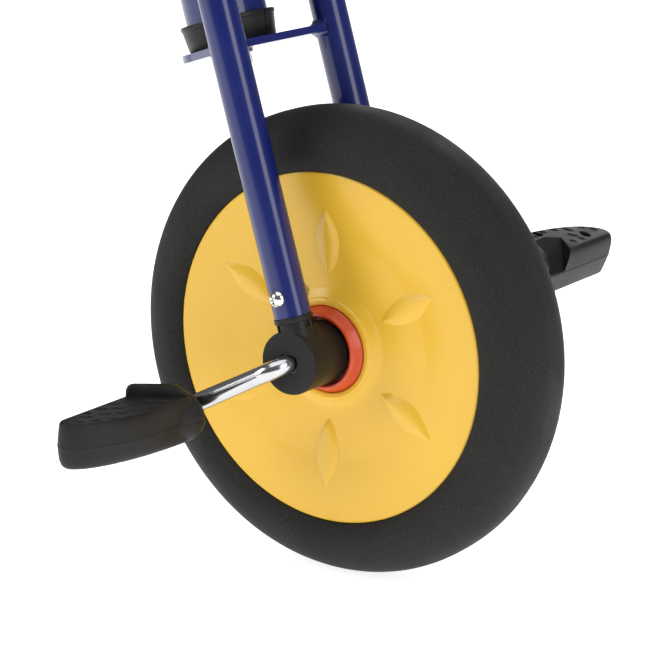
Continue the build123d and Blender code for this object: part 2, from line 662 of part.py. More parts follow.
def make_pedal(hand, side, tilt, flipped):
    """A moulded pedal: a tread shell and a base shell, screwed together round two bushes, with a guard at the mouth."""
    parting = pedal_plane(side, tilt, flipped)
    mirrored = parting.y_dir.Y * side < 0
    spindle = Plane(origin=parting.origin, x_dir=parting.x_dir, z_dir=(0, side, 0))
    nose_x = PEDAL_REAR - PEDAL_NOSE_R
    inner_wall = PEDAL_REAR - NOTCH_DEPTH - PEDAL_WALL
    notch = [
        (PEDAL_REAR - NOTCH_DEPTH, -1),
        (PEDAL_REAR - NOTCH_DEPTH, NOTCH_END - NOTCH_DEPTH),
        (PEDAL_REAR + 5, NOTCH_END + 5),
        (PEDAL_REAR + 5, -1),
    ]
    notch_wall = [
        (inner_wall, PEDAL_WALL / 2),
        (inner_wall, NOTCH_END - NOTCH_DEPTH + PEDAL_WALL * 0.6),
        (PEDAL_REAR - PEDAL_WALL - 0.8, NOTCH_END + PEDAL_WALL * 0.2),
        (PEDAL_REAR - PEDAL_WALL - 0.8, PEDAL_WALL / 2),
    ]
    ridge_run = Vector(RIDGE_FRONT[0] - RIDGE_REAR[0], RIDGE_FRONT[1] - RIDGE_REAR[1], 0)
    ridge_length = ridge_run.length
    ridge = [
        (0, PEDAL_TOP - PEDAL_WALL / 2),
        (0, PEDAL_TOP),
        (RIDGE_SLOPE, PEDAL_TOP + RIDGE_H),
        (ridge_length - RIDGE_SLOPE, PEDAL_TOP + RIDGE_H),
        (ridge_length, PEDAL_TOP),
        (ridge_length, PEDAL_TOP - PEDAL_WALL / 2),
    ]
    outward = Vector(0, side, 0)
    along = (parting.x_dir * ridge_run.X + outward * ridge_run.Y) / ridge_length
    behind = (outward * ridge_run.X - parting.x_dir * ridge_run.Y) / ridge_length
    ridge_foot = parting.origin + parting.x_dir * RIDGE_REAR[0] + outward * RIDGE_REAR[1]
    edgewise = Plane(origin=ridge_foot, x_dir=along, z_dir=behind)
    rise = 1 if edgewise.y_dir.dot(parting.z_dir) > 0 else -1
    guard_rise = 1 if spindle.y_dir.dot(parting.z_dir) > 0 else -1
    guard_middle = (GUARD_REAR - GUARD_FRONT) / 2
    flip = -1 if mirrored else 1
    shells = {"tread": (1, PEDAL_TOP, TREAD_BEVEL), "base": (-1, PEDAL_BASE, BASE_BEVEL)}
    for part_name, (up, height, bevel) in shells.items():
        with BuildPart() as shell:
            for inset, depth, mode in ((0, height, Mode.ADD), (PEDAL_WALL, height - PEDAL_WALL, Mode.SUBTRACT)):
                nose_r = PEDAL_NOSE_R - inset
                with BuildSketch(parting):
                    with BuildLine():
                        Line((PEDAL_REAR - inset, inset), (inset - PEDAL_FRONT, inset))
                        EllipticalCenterArc(
                            (nose_x, inset),
                            nose_x + PEDAL_FRONT - inset,
                            PEDAL_LENGTH - 2 * inset,
                            start_angle=90,
                            arc_size=90,
                        )
                        CenterArc((nose_x, PEDAL_LENGTH - inset - nose_r), nose_r, start_angle=0, arc_size=90)
                        Line((PEDAL_REAR - inset, PEDAL_LENGTH - inset - nose_r), (PEDAL_REAR - inset, inset))
                    make_face()
                    fillet(vertices().group_by(Axis.Y)[0], PEDAL_CORNER - inset)
                    if mirrored:
                        mirror(about=Plane.XZ, mode=Mode.REPLACE)
                extrude(amount=up * depth, mode=mode)
                if mode == Mode.ADD:
                    outer_face = shell.faces().sort_by(Axis(parting.origin, up * parting.z_dir))[-1]
                    chamfer(outer_face.edges(), bevel)
            for station in BUSH_STATIONS:
                with BuildSketch(parting):
                    with Locations((1, flip * (station + PEDAL_BUSH_L / 2))):
                        Rectangle(2 * PEDAL_BUSH_R + 4, PEDAL_BUSH_L - 1)
                extrude(amount=up * (height - PEDAL_WALL / 2))
            with BuildSketch(parting):
                for x, v in PEDAL_SCREW_PLACES:
                    with Locations((x, flip * v)):
                        Circle(POST_R)
            extrude(amount=up * (height - PEDAL_WALL / 2))
            if part_name == "tread":
                with BuildSketch(edgewise):
                    with BuildLine():
                        Polyline(*[(v, rise * h) for v, h in ridge], close=True)
                    make_face()
                extrude(amount=RIDGE_T)
            else:
                for points, mode, depth in (
                    (notch_wall, Mode.ADD, height - PEDAL_WALL / 2),
                    (notch, Mode.SUBTRACT, height + 1),
                ):
                    with BuildSketch(parting):
                        with BuildLine():
                            Polyline(*[(x, flip * v) for x, v in points], close=True)
                        make_face()
                    extrude(amount=up * depth, mode=mode)
            with BuildSketch(spindle.offset(-GUARD_REACH)):
                with Locations((guard_middle, 0)):
                    Ellipse((GUARD_FRONT + GUARD_REAR) / 2, GUARD_R)
                with Locations((guard_middle, -up * guard_rise * GUARD_R)):
                    Rectangle(2 * GUARD_FRONT, 2 * GUARD_R, mode=Mode.SUBTRACT)
            extrude(amount=GUARD_T)
            for start, radius, length in (
                (-GUARD_REACH - 1, GUARD_MOUTH_R, GUARD_REACH),
                (-1, ROD_MOUTH_R, BUSH_STATIONS[0] + 2),
                (BUSH_STATIONS[0], PEDAL_BUSH_R + FIT, PEDAL_BUSH_L),
                (BUSH_STATIONS[0], ROD_MOUTH_R, SPINDLE_END),
                (BUSH_STATIONS[1], PEDAL_BUSH_R + FIT, PEDAL_BUSH_L),
            ):
                with BuildSketch(spindle.offset(start)):
                    Circle(radius)
                extrude(amount=length, mode=Mode.SUBTRACT)
            with BuildSketch(parting):
                for x, v in PEDAL_SCREW_PLACES:
                    with Locations((x, flip * v)):
                        Circle(PEDAL_SCREW_R + FIT)
            reach = height + 1 if up < 0 else PEDAL_SCREW_L + PEDAL_SCREW_SINK - PEDAL_BASE + 1
            extrude(amount=up * reach, mode=Mode.SUBTRACT)
            if up < 0:
                with BuildSketch(parting.offset(-PEDAL_BASE - 1)):
                    for x, v in PEDAL_SCREW_PLACES:
                        with Locations((x, flip * v)):
                            Circle(PEDAL_SCREW_HEAD_R + FIT)
                extrude(amount=PEDAL_SCREW_SINK + PEDAL_SCREW_HEAD_H + 1, mode=Mode.SUBTRACT)
        save(shell, f"{hand}_pedal_{part_name}")
    with BuildPart() as bushes:
        for station in BUSH_STATIONS:
            with BuildSketch(spindle.offset(station + FIT)):
                Circle(PEDAL_BUSH_R)
                Circle(ROD_R + RUNNING, mode=Mode.SUBTRACT)
            extrude(amount=PEDAL_BUSH_L - 2 * FIT)
    save(bushes, f"{hand}_pedal_bushes")
    with BuildPart() as screws:
        for x, v in PEDAL_SCREW_PLACES:
            with BuildSketch(parting.offset(PEDAL_SCREW_SINK - PEDAL_BASE)):
                with Locations((x, flip * v)):
                    Circle(PEDAL_SCREW_HEAD_R)
            extrude(amount=PEDAL_SCREW_HEAD_H - FIT)
            with BuildSketch(parting.offset(PEDAL_SCREW_SINK - PEDAL_BASE)):
                with Locations((x, flip * v)):
                    Circle(PEDAL_SCREW_R)
            extrude(amount=PEDAL_SCREW_L)
    save(screws, f"{hand}_pedal_screws")
    with BuildPart() as cap:
        with BuildSketch(spindle.offset(SPINDLE_END - CAP_T - 0.5)):
            Circle(CAP_R)
            Circle(ROD_R + FIT, mode=Mode.SUBTRACT)
        extrude(amount=CAP_T)
    save(cap, f"{hand}_spindle_cap")


os.makedirs("parts", exist_ok=True)
make_tyre()
make_hub_sleeve()
make_drive_pin()
make_crank()
make_spacers()
make_clamp_screws()
make_plate("lower_crown_plate", PLATE_BOTTOM)
make_plate("upper_crown_plate", UPPER_PLATE_BOTTOM)
make_welds()
make_housing_screws()
make_cup("lower_head_cup", PLATE_TOP, 1)
make_cup("upper_head_cup", UPPER_PLATE_BOTTOM, -1)
make_steering_bush("lower_steering_bush", PLATE_TOP, 1)
make_steering_bush("upper_steering_bush", UPPER_PLATE_BOTTOM, -1)
make_head_tube()
make_frame_socket()
make_steering_bolt()
for hand, side in SIDES.items():
    make_disc(f"{hand}_wheel_disc", side)
    make_collar(f"{hand}_hub_collar", side)
    make_housing(hand, side)
    make_fork_tube(hand, side)
make_pedal("right", RIGHT, RIGHT_PEDAL_TILT, False)
make_pedal("left", LEFT, LEFT_PEDAL_TILT, True)
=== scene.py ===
"""Looks of the nursery tricycle's front wheel, fork and head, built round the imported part."""

from __future__ import annotations

import json
import logging
import math
from dataclasses import dataclass
from enum import Enum

import bpy
from mathutils import Matrix, Vector


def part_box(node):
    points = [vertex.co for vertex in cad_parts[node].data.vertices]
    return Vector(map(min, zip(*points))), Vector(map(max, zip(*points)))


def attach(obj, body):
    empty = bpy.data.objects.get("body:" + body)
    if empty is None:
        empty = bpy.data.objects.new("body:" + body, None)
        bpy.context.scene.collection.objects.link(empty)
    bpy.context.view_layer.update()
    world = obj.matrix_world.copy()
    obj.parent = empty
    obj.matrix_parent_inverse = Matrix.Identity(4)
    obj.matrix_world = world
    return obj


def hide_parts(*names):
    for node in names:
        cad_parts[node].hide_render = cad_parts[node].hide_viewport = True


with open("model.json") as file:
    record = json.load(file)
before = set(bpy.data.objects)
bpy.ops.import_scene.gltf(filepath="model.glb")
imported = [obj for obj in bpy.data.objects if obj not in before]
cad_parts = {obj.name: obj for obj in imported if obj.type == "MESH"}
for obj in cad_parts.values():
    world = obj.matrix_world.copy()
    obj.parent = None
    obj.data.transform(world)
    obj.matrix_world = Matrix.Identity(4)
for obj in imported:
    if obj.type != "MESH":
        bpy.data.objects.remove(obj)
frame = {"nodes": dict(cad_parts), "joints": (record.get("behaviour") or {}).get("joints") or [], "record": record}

MM = 0.001
MERGE_GAP = 0.002 * MM
FINE, ROUND = 180, 128
LOG = logging.getLogger("front_wheel")
Piece = bpy.types.Object
Point = tuple[float, float]
Profile = list[Point]
Triple = tuple[float, float, float]
Colour = Triple


class Side(Enum):
    """The rider's two sides, as the sign of Y."""

    RIGHT = -1
    LEFT = 1

    @property
    def word(self) -> str:
        """The side's name as the nodes spell it."""
        return self.name.lower()


@dataclass(frozen=True)
class Place:
    """A local frame in the row frame: an origin and three directions, lengths in metres."""

    origin: Vector
    x_dir: Vector
    y_dir: Vector
    z_dir: Vector

    @property
    def matrix(self) -> Matrix:
        """The frame as a 4x4 matrix."""
        turn = Matrix((self.x_dir, self.y_dir, self.z_dir)).transposed()
        return Matrix.Translation(self.origin) @ turn.to_4x4()

    def shifted(self, x: float = 0.0, y: float = 0.0, z: float = 0.0) -> Place:
        """The same frame moved along its own directions, in metres."""
        origin = self.origin + self.x_dir * x + self.y_dir * y + self.z_dir * z
        return Place(origin, self.x_dir, self.y_dir, self.z_dir)


def joint(name: str) -> dict:
    """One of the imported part's joints.

    Args:
        name: The joint's name.

    Returns:
        The joint as the record has it.
    """
    return next(entry for entry in frame["joints"] if entry["name"] == name)


WHEEL_CENTRE = Vector(joint("wheel_spin")["pos_m"])
STEER_FOOT = Vector(joint("steer")["pos_m"])
STEER_UP = Vector(joint("steer")["axis"]).normalized()
STEER_FORWARD = Vector((0.0, 1.0, 0.0)).cross(STEER_UP)


def outward(side: Side = Side.LEFT, origin: Vector = WHEEL_CENTRE) -> Place:
    """A frame at the wheel's centre or another point, whose z points out to one side."""
    out = float(side.value)
    return Place(origin, Vector((1, 0, 0)), Vector((0, 0, -out)), Vector((0, out, 0)))


def arc(centre: Point, reach: Point, turns: range) -> Profile:
    """Points on an ellipse.

    Args:
        centre: Its centre.
        reach: Its half sizes; a negative one mirrors it.
        turns: The turns of the points, in degrees.

    Returns:
        The points in order.
    """
    angles = [math.radians(turn) for turn in turns]
    return [(centre[0] + reach[0] * math.cos(a), centre[1] + reach[1] * math.sin(a)) for a in angles]


def steer_place(height: float, forward: float = 0.0, across: float = 0.0) -> Place:
    """A frame at a height along the steering line, with z up that line, in metres."""
    base = Place(STEER_FOOT, STEER_FORWARD, Vector((0, 1, 0)), STEER_UP)
    return base.shifted(forward, across, height)


class Bench:
    """Hand tools for one mesh at a time: every method works on the active object."""

    @staticmethod
    def leave() -> None:
        """Go back to object mode."""
        bpy.ops.object.mode_set(mode="OBJECT")

    @staticmethod
    def deselect() -> None:
        """Leave edit mode and let go of everything."""
        if bpy.context.object and bpy.context.object.mode != "OBJECT":
            Bench.leave()
        bpy.ops.object.select_all(action="DESELECT")

    @staticmethod
    def take(piece: Piece) -> None:
        """Select one object alone and make it active."""
        Bench.deselect()
        piece.hide_set(False)
        piece.select_set(True)
        bpy.context.view_layer.objects.active = piece

    @staticmethod
    def edit(mode: str = "VERT") -> None:
        """Enter edit mode with everything of one kind selected."""
        bpy.ops.object.mode_set(mode="EDIT")
        bpy.ops.mesh.select_mode(type=mode)
        bpy.ops.mesh.select_all(action="SELECT")

    @staticmethod
    def merge() -> None:
        """Select the whole mesh and merge its doubles."""
        bpy.ops.mesh.select_all(action="SELECT")
        bpy.ops.mesh.remove_doubles(threshold=MERGE_GAP)

    @staticmethod
    def mend() -> None:
        """Merge doubles over the whole mesh, point its faces outwards and go back to object mode."""
        Bench.merge()
        bpy.ops.mesh.normals_make_consistent(inside=False)
        Bench.leave()

    @staticmethod
    def trace(name: str, corners: list[Vector], closed: bool = True) -> Piece:
        """Begin a piece as a chain of edges, left selected in edit mode.

        Args:
            name: The piece's name.
            corners: The chain's corners in order, in the piece's own frame.
            closed: Whether the last corner joins the first.

        Returns:
            The new object.
        """
        Bench.deselect()
        bpy.ops.mesh.primitive_plane_add(size=MM)
        piece = bpy.context.object
        piece.name = piece.data.name = name
        Bench.edit()
        bpy.ops.mesh.merge(type="CENTER")
        bpy.ops.transform.translate(value=corners[0])
        last = corners[0]
        for corner in corners[1:] + corners[:1] * closed:
            bpy.ops.mesh.extrude_region_move(TRANSFORM_OT_translate={"value": corner - last})
            last = corner
        Bench.merge()
        return piece

    @staticmethod
    def lathe(name: str, profile: Profile, closed: bool, steps: int, sweep: float = 360.0) -> Piece:
        """Turn a profile of (radius, height) in millimetres round the local z axis.

        Args:
            name: The piece's name.
            profile: The profile's points in order.
            closed: Whether the last point joins the first, for a ring.
            steps: Facets round the turn.
            sweep: How far it turns, in degrees, from the local x direction.

        Returns:
            The turned object, in object mode.
        """
        piece = Bench.trace(name, [Vector((r, 0.0, h)) * MM for r, h in profile], closed)
        bpy.ops.mesh.spin(steps=steps, angle=math.radians(sweep), center=(0, 0, 0), axis=(0, 0, 1))
        Bench.mend()
        return piece

    @staticmethod
    def turned(name: str, profile: Profile, closed: bool, steps: int, place: Place) -> Piece:
        """Turn a profile round the z axis of a frame, with lathe's arguments and then the frame."""
        return Bench.put(Bench.lathe(name, profile, closed, steps), place)

    @staticmethod
    def outline(name: str, points: Profile, height: float = 0.0) -> Piece:
        """Fill a closed outline with one face facing +z, left selected in edit mode.

        Args:
            name: The piece's name.
            points: The outline's (x, y) in order, in millimetres.
            height: Its local z, in millimetres.

        Returns:
            The new object.
        """
        piece = Bench.trace(name, [Vector((x, y, height)) * MM for x, y in points])
        bpy.ops.mesh.edge_face_add()
        Bench.leave()
        facing_down = piece.data.polygons[0].normal.z < 0
        Bench.edit("FACE")
        if facing_down:
            bpy.ops.mesh.flip_normals()
        return piece

    @staticmethod
    def bar(name: str, low: Point, high: Point, level: float, step: Point) -> Piece:
        """A rectangular block, in millimetres.

        Args:
            name: The block's name.
            low: Its lowest x and y.
            high: Its highest x and y.
            level: The z of its foot.
            step: How far its top is drawn in, and its height.

        Returns:
            The closed block, in object mode.
        """
        piece = Bench.outline(name, [low, (high[0], low[1]), high, (low[0], high[1])], level)
        Bench.step_in([step])
        Bench.close_holes()
        return piece

    @staticmethod
    def step_in(steps: Profile) -> None:
        """Inset the selected face again and again by (inset, rise) in millimetres."""
        for thickness, rise in steps:
            bpy.ops.mesh.inset(thickness=thickness * MM, depth=rise * MM, use_even_offset=True)

    @staticmethod
    def step_up(steps: list[Triple]) -> None:
        """Extrude the selected face upwards again and again, each time drawing it in about the origin.

        Args:
            steps: (rise in millimetres, scale along x, scale along y) of each step.
        """
        for rise, x_scale, y_scale in steps:
            Bench.raise_by(rise)
            bpy.ops.transform.resize(value=(x_scale, y_scale, 1.0), center_override=(0, 0, 0))

    @staticmethod
    def raise_by(rise: float) -> None:
        """Extrude the selected face upwards, in millimetres."""
        bpy.ops.mesh.extrude_region_move(TRANSFORM_OT_translate={"value": Vector((0, 0, rise * MM))})

    @staticmethod
    def close_holes() -> None:
        """Fill every open edge loop and mend the mesh."""
        bpy.ops.mesh.select_mode(type="EDGE")
        bpy.ops.mesh.select_all(action="DESELECT")
        bpy.ops.mesh.select_non_manifold()
        bpy.ops.mesh.edge_face_add()
        Bench.mend()

    @staticmethod
    def freeze(piece: Piece) -> Piece:
        """Keep a piece's place and scale in its mesh."""
        Bench.take(piece)
        bpy.ops.object.transform_apply(location=True, rotation=True, scale=True)
        return piece

    @staticmethod
    def settle(piece: Piece) -> Piece:
        """Keep a piece's place and scale in its mesh, and point its faces outwards."""
        Bench.freeze(piece)
        Bench.edit()
        bpy.ops.mesh.normals_make_consistent(inside=False)
        Bench.leave()
        return piece

    @staticmethod
    def put(piece: Piece, place: Place) -> Piece:
        """Move a piece made at the origin to its frame and settle it there."""
        piece.matrix_world = place.matrix
        return Bench.settle(piece)

    @staticmethod
    def hull(name: str, points: list[Triple]) -> Piece:
        """A closed faceted block wrapped round points in millimetres, in object mode."""
        piece = Bench.trace(name, [Vector(point) * MM for point in points], False)
        bpy.ops.mesh.convex_hull()
        Bench.mend()
        return piece

    @staticmethod
    def apply(piece: Piece, kind: str, **settings: object) -> Piece:
        """Add a modifier of one kind and apply it.

        Args:
            piece: The piece it works on.
            kind: The modifier's type.
            **settings: Its settings by name.

        Returns:
            The same piece.
        """
        Bench.take(piece)
        modifier = piece.modifiers.new(kind.title(), kind)
        for key, value in settings.items():
            setattr(modifier, key, value)
        bpy.ops.object.modifier_apply(modifier=modifier.name)
        return piece

    @staticmethod
    def combine(piece: Piece, tools: list[Piece], operation: str) -> Piece:
        """Cut tools out of a piece or weld them on, and throw the tools away.

        Args:
            piece: The piece that stays.
            tools: The closed meshes to cut or add.
            operation: DIFFERENCE or UNION.

        Returns:
            The same piece.
        """
        for tool in tools:
            Bench.apply(piece, "BOOLEAN", operation=operation, object=tool, solver="EXACT")
            bpy.data.objects.remove(tool)
        return piece

    @staticmethod
    def join(pieces: list[Piece], name: str = "") -> Piece:
        """Join meshes into the first of them and return it, under a new name if one is given."""
        joined = pieces[0]
        Bench.take(joined)
        for other in pieces[1:]:
            other.select_set(True)
        bpy.ops.object.join()
        if name:
            joined.name = joined.data.name = name
        return joined

    @staticmethod
    def smooth(piece: Piece, angle: float = 30.0) -> None:
        """Shade smooth across edges flatter than an angle in degrees."""
        Bench.take(piece)
        bpy.ops.object.shade_smooth_by_angle(angle=math.radians(angle))


class Wire:
    """A shader socket that Python's operators can work on."""

    def __init__(self, tree: NodeTable, socket: bpy.types.NodeSocket) -> None:
        """Keep the socket and the node table it belongs to."""
        self.tree = tree
        self.socket = socket

    def _maths(self, operation: str, first: Wire | float, second: Wire | float) -> Wire:
        """One Math node on two values."""
        return self.tree.node("ShaderNodeMath", {"operation": operation}, {0: first, 1: second})

    def __add__(self, other: Wire | float) -> Wire:
        """Sum."""
        return self._maths("ADD", self, other)

    __radd__ = __add__

    def __mul__(self, other: Wire | float) -> Wire:
        """Product."""
        return self._maths("MULTIPLY", self, other)

    __rmul__ = __mul__

    def __sub__(self, other: Wire | float) -> Wire:
        """Difference."""
        return self._maths("SUBTRACT", self, other)

    def __rsub__(self, other: Wire | float) -> Wire:
        """Difference, the other way round."""
        return self._maths("SUBTRACT", other, self)

    def clipped(self, low: float, high: float) -> Wire:
        """The value spread from low..high to 0..1, and held there."""
        ends = {0: self, 1: low, 2: high, 3: 0.0, 4: 1.0}
        return self.tree.node("ShaderNodeMapRange", {"clamp": True}, ends)


class NodeTable:
    """The node tree of one material."""

    def __init__(self, name: str) -> None:
        """Make an empty material with an output and a Principled shader."""
        self.material = bpy.data.materials.new(name)
        self.material.use_nodes = True
        self.nodes = self.material.node_tree.nodes
        self.links = self.material.node_tree.links
        self.nodes.clear()
        self.shader = self.nodes.new("ShaderNodeBsdfPrincipled")
        output = self.nodes.new("ShaderNodeOutputMaterial")
        self.links.new(self.shader.outputs[0], output.inputs[0])
        self.place = self.node("ShaderNodeTexCoord", {}, {}, "Object")

    def feed(self, socket: bpy.types.NodeSocket, value: Wire | float | tuple) -> None:
        """Link a wire to a socket, or set a plain value on it."""
        if isinstance(value, Wire):
            self.links.new(value.socket, socket)
        else:
            socket.default_value = value

    def node(self, kind: str, settings: dict, values: dict, out: int | str = 0) -> Wire:
        """Add any node.

        Args:
            kind: The node's type.
            settings: Its settings by name; stops holds a ramp's (position, colour) pairs.
            values: Values or wires for its inputs, by index or name.
            out: Which output to return.

        Returns:
            The chosen output.
        """
        made = self.nodes.new(kind)
        for key, value in settings.items():
            if key == "stops":
                ramp = made.color_ramp.elements
                while len(ramp) < len(value):
                    ramp.new(0.5)
                for stop, (position, shade) in zip(ramp, value):
                    stop.position = position
                    stop.color = (*shade, 1.0)
            else:
                setattr(made, key, value)
        for key, value in values.items():
            self.feed(made.inputs[key], value)
        return Wire(self, made.outputs[out])

    def noise(
        self, scale: float, detail: float = 3.0, roughness: float = 0.55, stretch: Vector | None = None
    ) -> Wire:
        """Fractal noise over the object, scale in cycles per metre.

        Args:
            scale: Its scale.
            detail: Its detail.
            roughness: Its roughness.
            stretch: A scale for each direction, or none.

        Returns:
            Its value, round about a half.
        """
        where = self.place
        if stretch:
            where = self.node("ShaderNodeMapping", {}, {"Vector": where, "Scale": stretch})
        values = {"Vector": where, "Scale": scale, "Detail": detail, "Roughness": roughness}
        return self.node("ShaderNodeTexNoise", {}, values)

    def cells(self, scale: float) -> Wire:
        """The distance to the nearest of many scattered points, scale in cycles per metre."""
        return self.node("ShaderNodeTexVoronoi", {}, {"Vector": self.place, "Scale": scale})

    def between(self, low: Colour | Wire, high: Colour | Wire, share: Wire) -> Wire:
        """Mix two colours by a value."""
        ends = [end if isinstance(end, Wire) else (*end, 1.0) for end in (low, high)]
        return self.node("ShaderNodeMix", {"data_type": "RGBA"}, {0: share, 6: ends[0], 7: ends[1]}, 2)

    def bump(self, height: Wire, depth: float, strength: float = 1.0, under: Wire | None = None) -> Wire:
        """A bump of a depth in millimetres, on top of another if there is one."""
        values: dict = {"Strength": strength, "Distance": depth * MM, "Height": height}
        if under:
            values["Normal"] = under
        return self.node("ShaderNodeBump", {}, values)

    def finish(self, **sockets: Wire | float | tuple) -> bpy.types.Material:
        """Feed the shader's sockets, named with _ for spaces, and return the material."""
        for key, value in sockets.items():
            name = " ".join(word.upper() if word == "ior" else word.title() for word in key.split("_"))
            self.feed(self.shader.inputs[name], value)
        return self.material


@dataclass(frozen=True)
class FoamRubber:
    """The tyre's fine-pored black foam."""

    name: str = "foam_rubber"
    dark: Colour = (0.010, 0.010, 0.010)
    pale: Colour = (0.024, 0.024, 0.023)
    pore: Colour = (0.080, 0.080, 0.078)

    def make(self) -> bpy.types.Material:
        """Build the material."""
        table = NodeTable(self.name)
        broad = table.noise(26.0, 3.0).clipped(0.35, 0.65)
        grain = table.noise(900.0, 4.0, 0.7)
        speck = table.cells(620.0)
        fleck = 1 - speck.clipped(0.10, 0.34)
        base = table.between(self.dark, self.pale, grain.clipped(0.3, 0.7) * 0.75 + broad * 0.25)
        colour = table.between(base, self.pore, fleck * grain.clipped(0.45, 0.62) * 0.55)
        height = grain * 0.6 + speck * 0.5
        return table.finish(
            base_color=colour,
            roughness=0.60 + 0.16 * broad,
            normal=table.bump(height, 0.28, 0.75),
            specular_ior_level=0.22,
        )


@dataclass(frozen=True)
class GlossPlastic:
    """Smooth moulded plastic with a faint ripple and fine handling marks."""

    name: str
    colour: Colour
    deep: Colour
    roughness: float = 0.26
    coat: float = 0.35
    ripple: float = 0.10

    def make(self) -> bpy.types.Material:
        """Build the material."""
        table = NodeTable(self.name)
        broad = table.noise(14.0, 2.0).clipped(0.3, 0.7)
        fine = table.noise(420.0, 4.0, 0.6)
        scuff = table.noise(65.0, 5.0, 0.65, Vector((1.0, 1.0, 6.0))).clipped(0.60, 0.74)
        return table.finish(
            base_color=table.between(self.deep, self.colour, 0.72 + 0.28 * broad),
            roughness=self.roughness + 0.08 * broad + 0.12 * scuff,
            coat_weight=self.coat,
            coat_roughness=0.12,
            normal=table.bump(fine * 0.25 + table.noise(48.0, 2.0), self.ripple, 0.5),
        )


@dataclass(frozen=True)
class TubePaint:
    """Thick gloss paint on steel, with orange peel and pale chips on a few spots."""

    name: str = "gloss_blue_paint"
    colour: Colour = (0.0030, 0.0105, 0.118)
    light: Colour = (0.0080, 0.0165, 0.150)
    chip: Colour = (0.17, 0.19, 0.30)

    def make(self) -> bpy.types.Material:
        """Build the material."""
        table = NodeTable(self.name)
        broad = table.noise(22.0, 3.0).clipped(0.32, 0.68)
        peel = table.noise(330.0, 2.0, 0.5)
        chips = table.noise(120.0, 6.0, 0.7).clipped(0.745, 0.765)
        body = table.between(self.colour, self.light, broad * 0.6)
        return table.finish(
            base_color=table.between(body, self.chip, chips * 0.7),
            roughness=0.30 + 0.07 * broad + 0.2 * chips,
            coat_weight=0.6 - 0.5 * chips,
            specular_ior_level=0.3,
            coat_roughness=0.06,
            normal=table.bump(peel, 0.05, 0.6),
        )


@dataclass(frozen=True)
class BrightMetal:
    """Plated or bare steel, polished or brushed."""

    name: str
    colour: Colour
    roughness: float
    wear: float
    scale: float = 260.0

    def make(self) -> bpy.types.Material:
        """Build the material."""
        table = NodeTable(self.name)
        haze = table.noise(38.0, 4.0, 0.6).clipped(0.35, 0.75)
        line = table.noise(self.scale, 5.0, 0.65, Vector((0.3, 1.0, 0.3)))
        dull = (self.colour[0] * 0.72, self.colour[1] * 0.72, self.colour[2] * 0.74)
        return table.finish(
            base_color=table.between(self.colour, dull, haze * self.wear),
            metallic=1.0,
            roughness=self.roughness + 0.10 * haze * self.wear + 0.05 * line.clipped(0.55, 0.8),
            normal=table.bump(line, 0.02, 0.25 + self.wear * 0.4),
        )


@dataclass(frozen=True)
class TexturedPlastic:
    """Black moulding with a spark-eroded grain, dusty where it is rubbed."""

    name: str
    dark: Colour = (0.010, 0.010, 0.010)
    dusty: Colour = (0.026, 0.026, 0.027)
    roughness: float = 0.42
    grain_depth: float = 0.09
    dust: float = 0.6

    def make(self) -> bpy.types.Material:
        """Build the material."""
        table = NodeTable(self.name)
        broad = table.noise(42.0, 4.0, 0.6).clipped(0.38, 0.72)
        grain = table.noise(1500.0, 3.0, 0.6)
        dust = broad * self.dust + grain.clipped(0.45, 0.7) * 0.25
        return table.finish(
            base_color=table.between(self.dark, self.dusty, dust),
            roughness=self.roughness + 0.14 * broad,
            normal=table.bump(grain, self.grain_depth, 0.45),
            specular_ior_level=0.25,
        )


@dataclass(frozen=True)
class PaleNylon:
    """Natural nylon, slightly waxy."""

    name: str = "pale_nylon"
    colour: Colour = (0.55, 0.53, 0.47)
    stain: Colour = (0.36, 0.34, 0.29)

    def make(self) -> bpy.types.Material:
        """Build the material."""
        table = NodeTable(self.name)
        broad = table.noise(90.0, 3.0).clipped(0.4, 0.75)
        return table.finish(
            base_color=table.between(self.colour, self.stain, broad * 0.5),
            roughness=0.45 + 0.1 * broad,
            normal=table.bump(table.noise(900.0), 0.04, 0.4),
        )


class Finishes:
    """Every finish in use, with the record's slot that it belongs to."""

    BY_SLOT = {
        "tyre": FoamRubber(),
        "disc_plastic": GlossPlastic("golden_plastic", (0.86, 0.52, 0.036), (0.80, 0.44, 0.020), coat=0.22),
        "collar_plastic": GlossPlastic(
            "orange_red_plastic", (0.62, 0.062, 0.010), (0.50, 0.030, 0.006), 0.30
        ),
        "frame_paint": TubePaint(),
        "crank_chrome": BrightMetal("crank_chrome", (0.62, 0.63, 0.65), 0.16, 0.35),
        "screw_chrome": BrightMetal("screw_chrome", (0.78, 0.78, 0.79), 0.12, 0.25),
        "zinc_steel": BrightMetal("zinc_steel", (0.62, 0.63, 0.66), 0.30, 0.8),
        "bush_nylon": PaleNylon(),
        "pedal_plastic": TexturedPlastic("pedal_plastic", roughness=0.44),
        "black_plastic": TexturedPlastic(
            "housing_plastic", dusty=(0.020, 0.020, 0.021), roughness=0.36, dust=0.45
        ),
    }

    def __init__(self) -> None:
        """Build the materials once."""
        self.materials = {slot: finish.make() for slot, finish in self.BY_SLOT.items()}

    def dress(self, piece: Piece, slot: str) -> None:
        """Give a piece the finish of one slot."""
        piece.data.materials.clear()
        piece.data.materials.append(self.materials[slot])

    def dress_frame(self) -> None:
        """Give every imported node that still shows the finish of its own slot."""
        for entry in frame["record"]["subparts"]:
            self.dress(frame["nodes"][entry["node"]], entry["material_slot"])


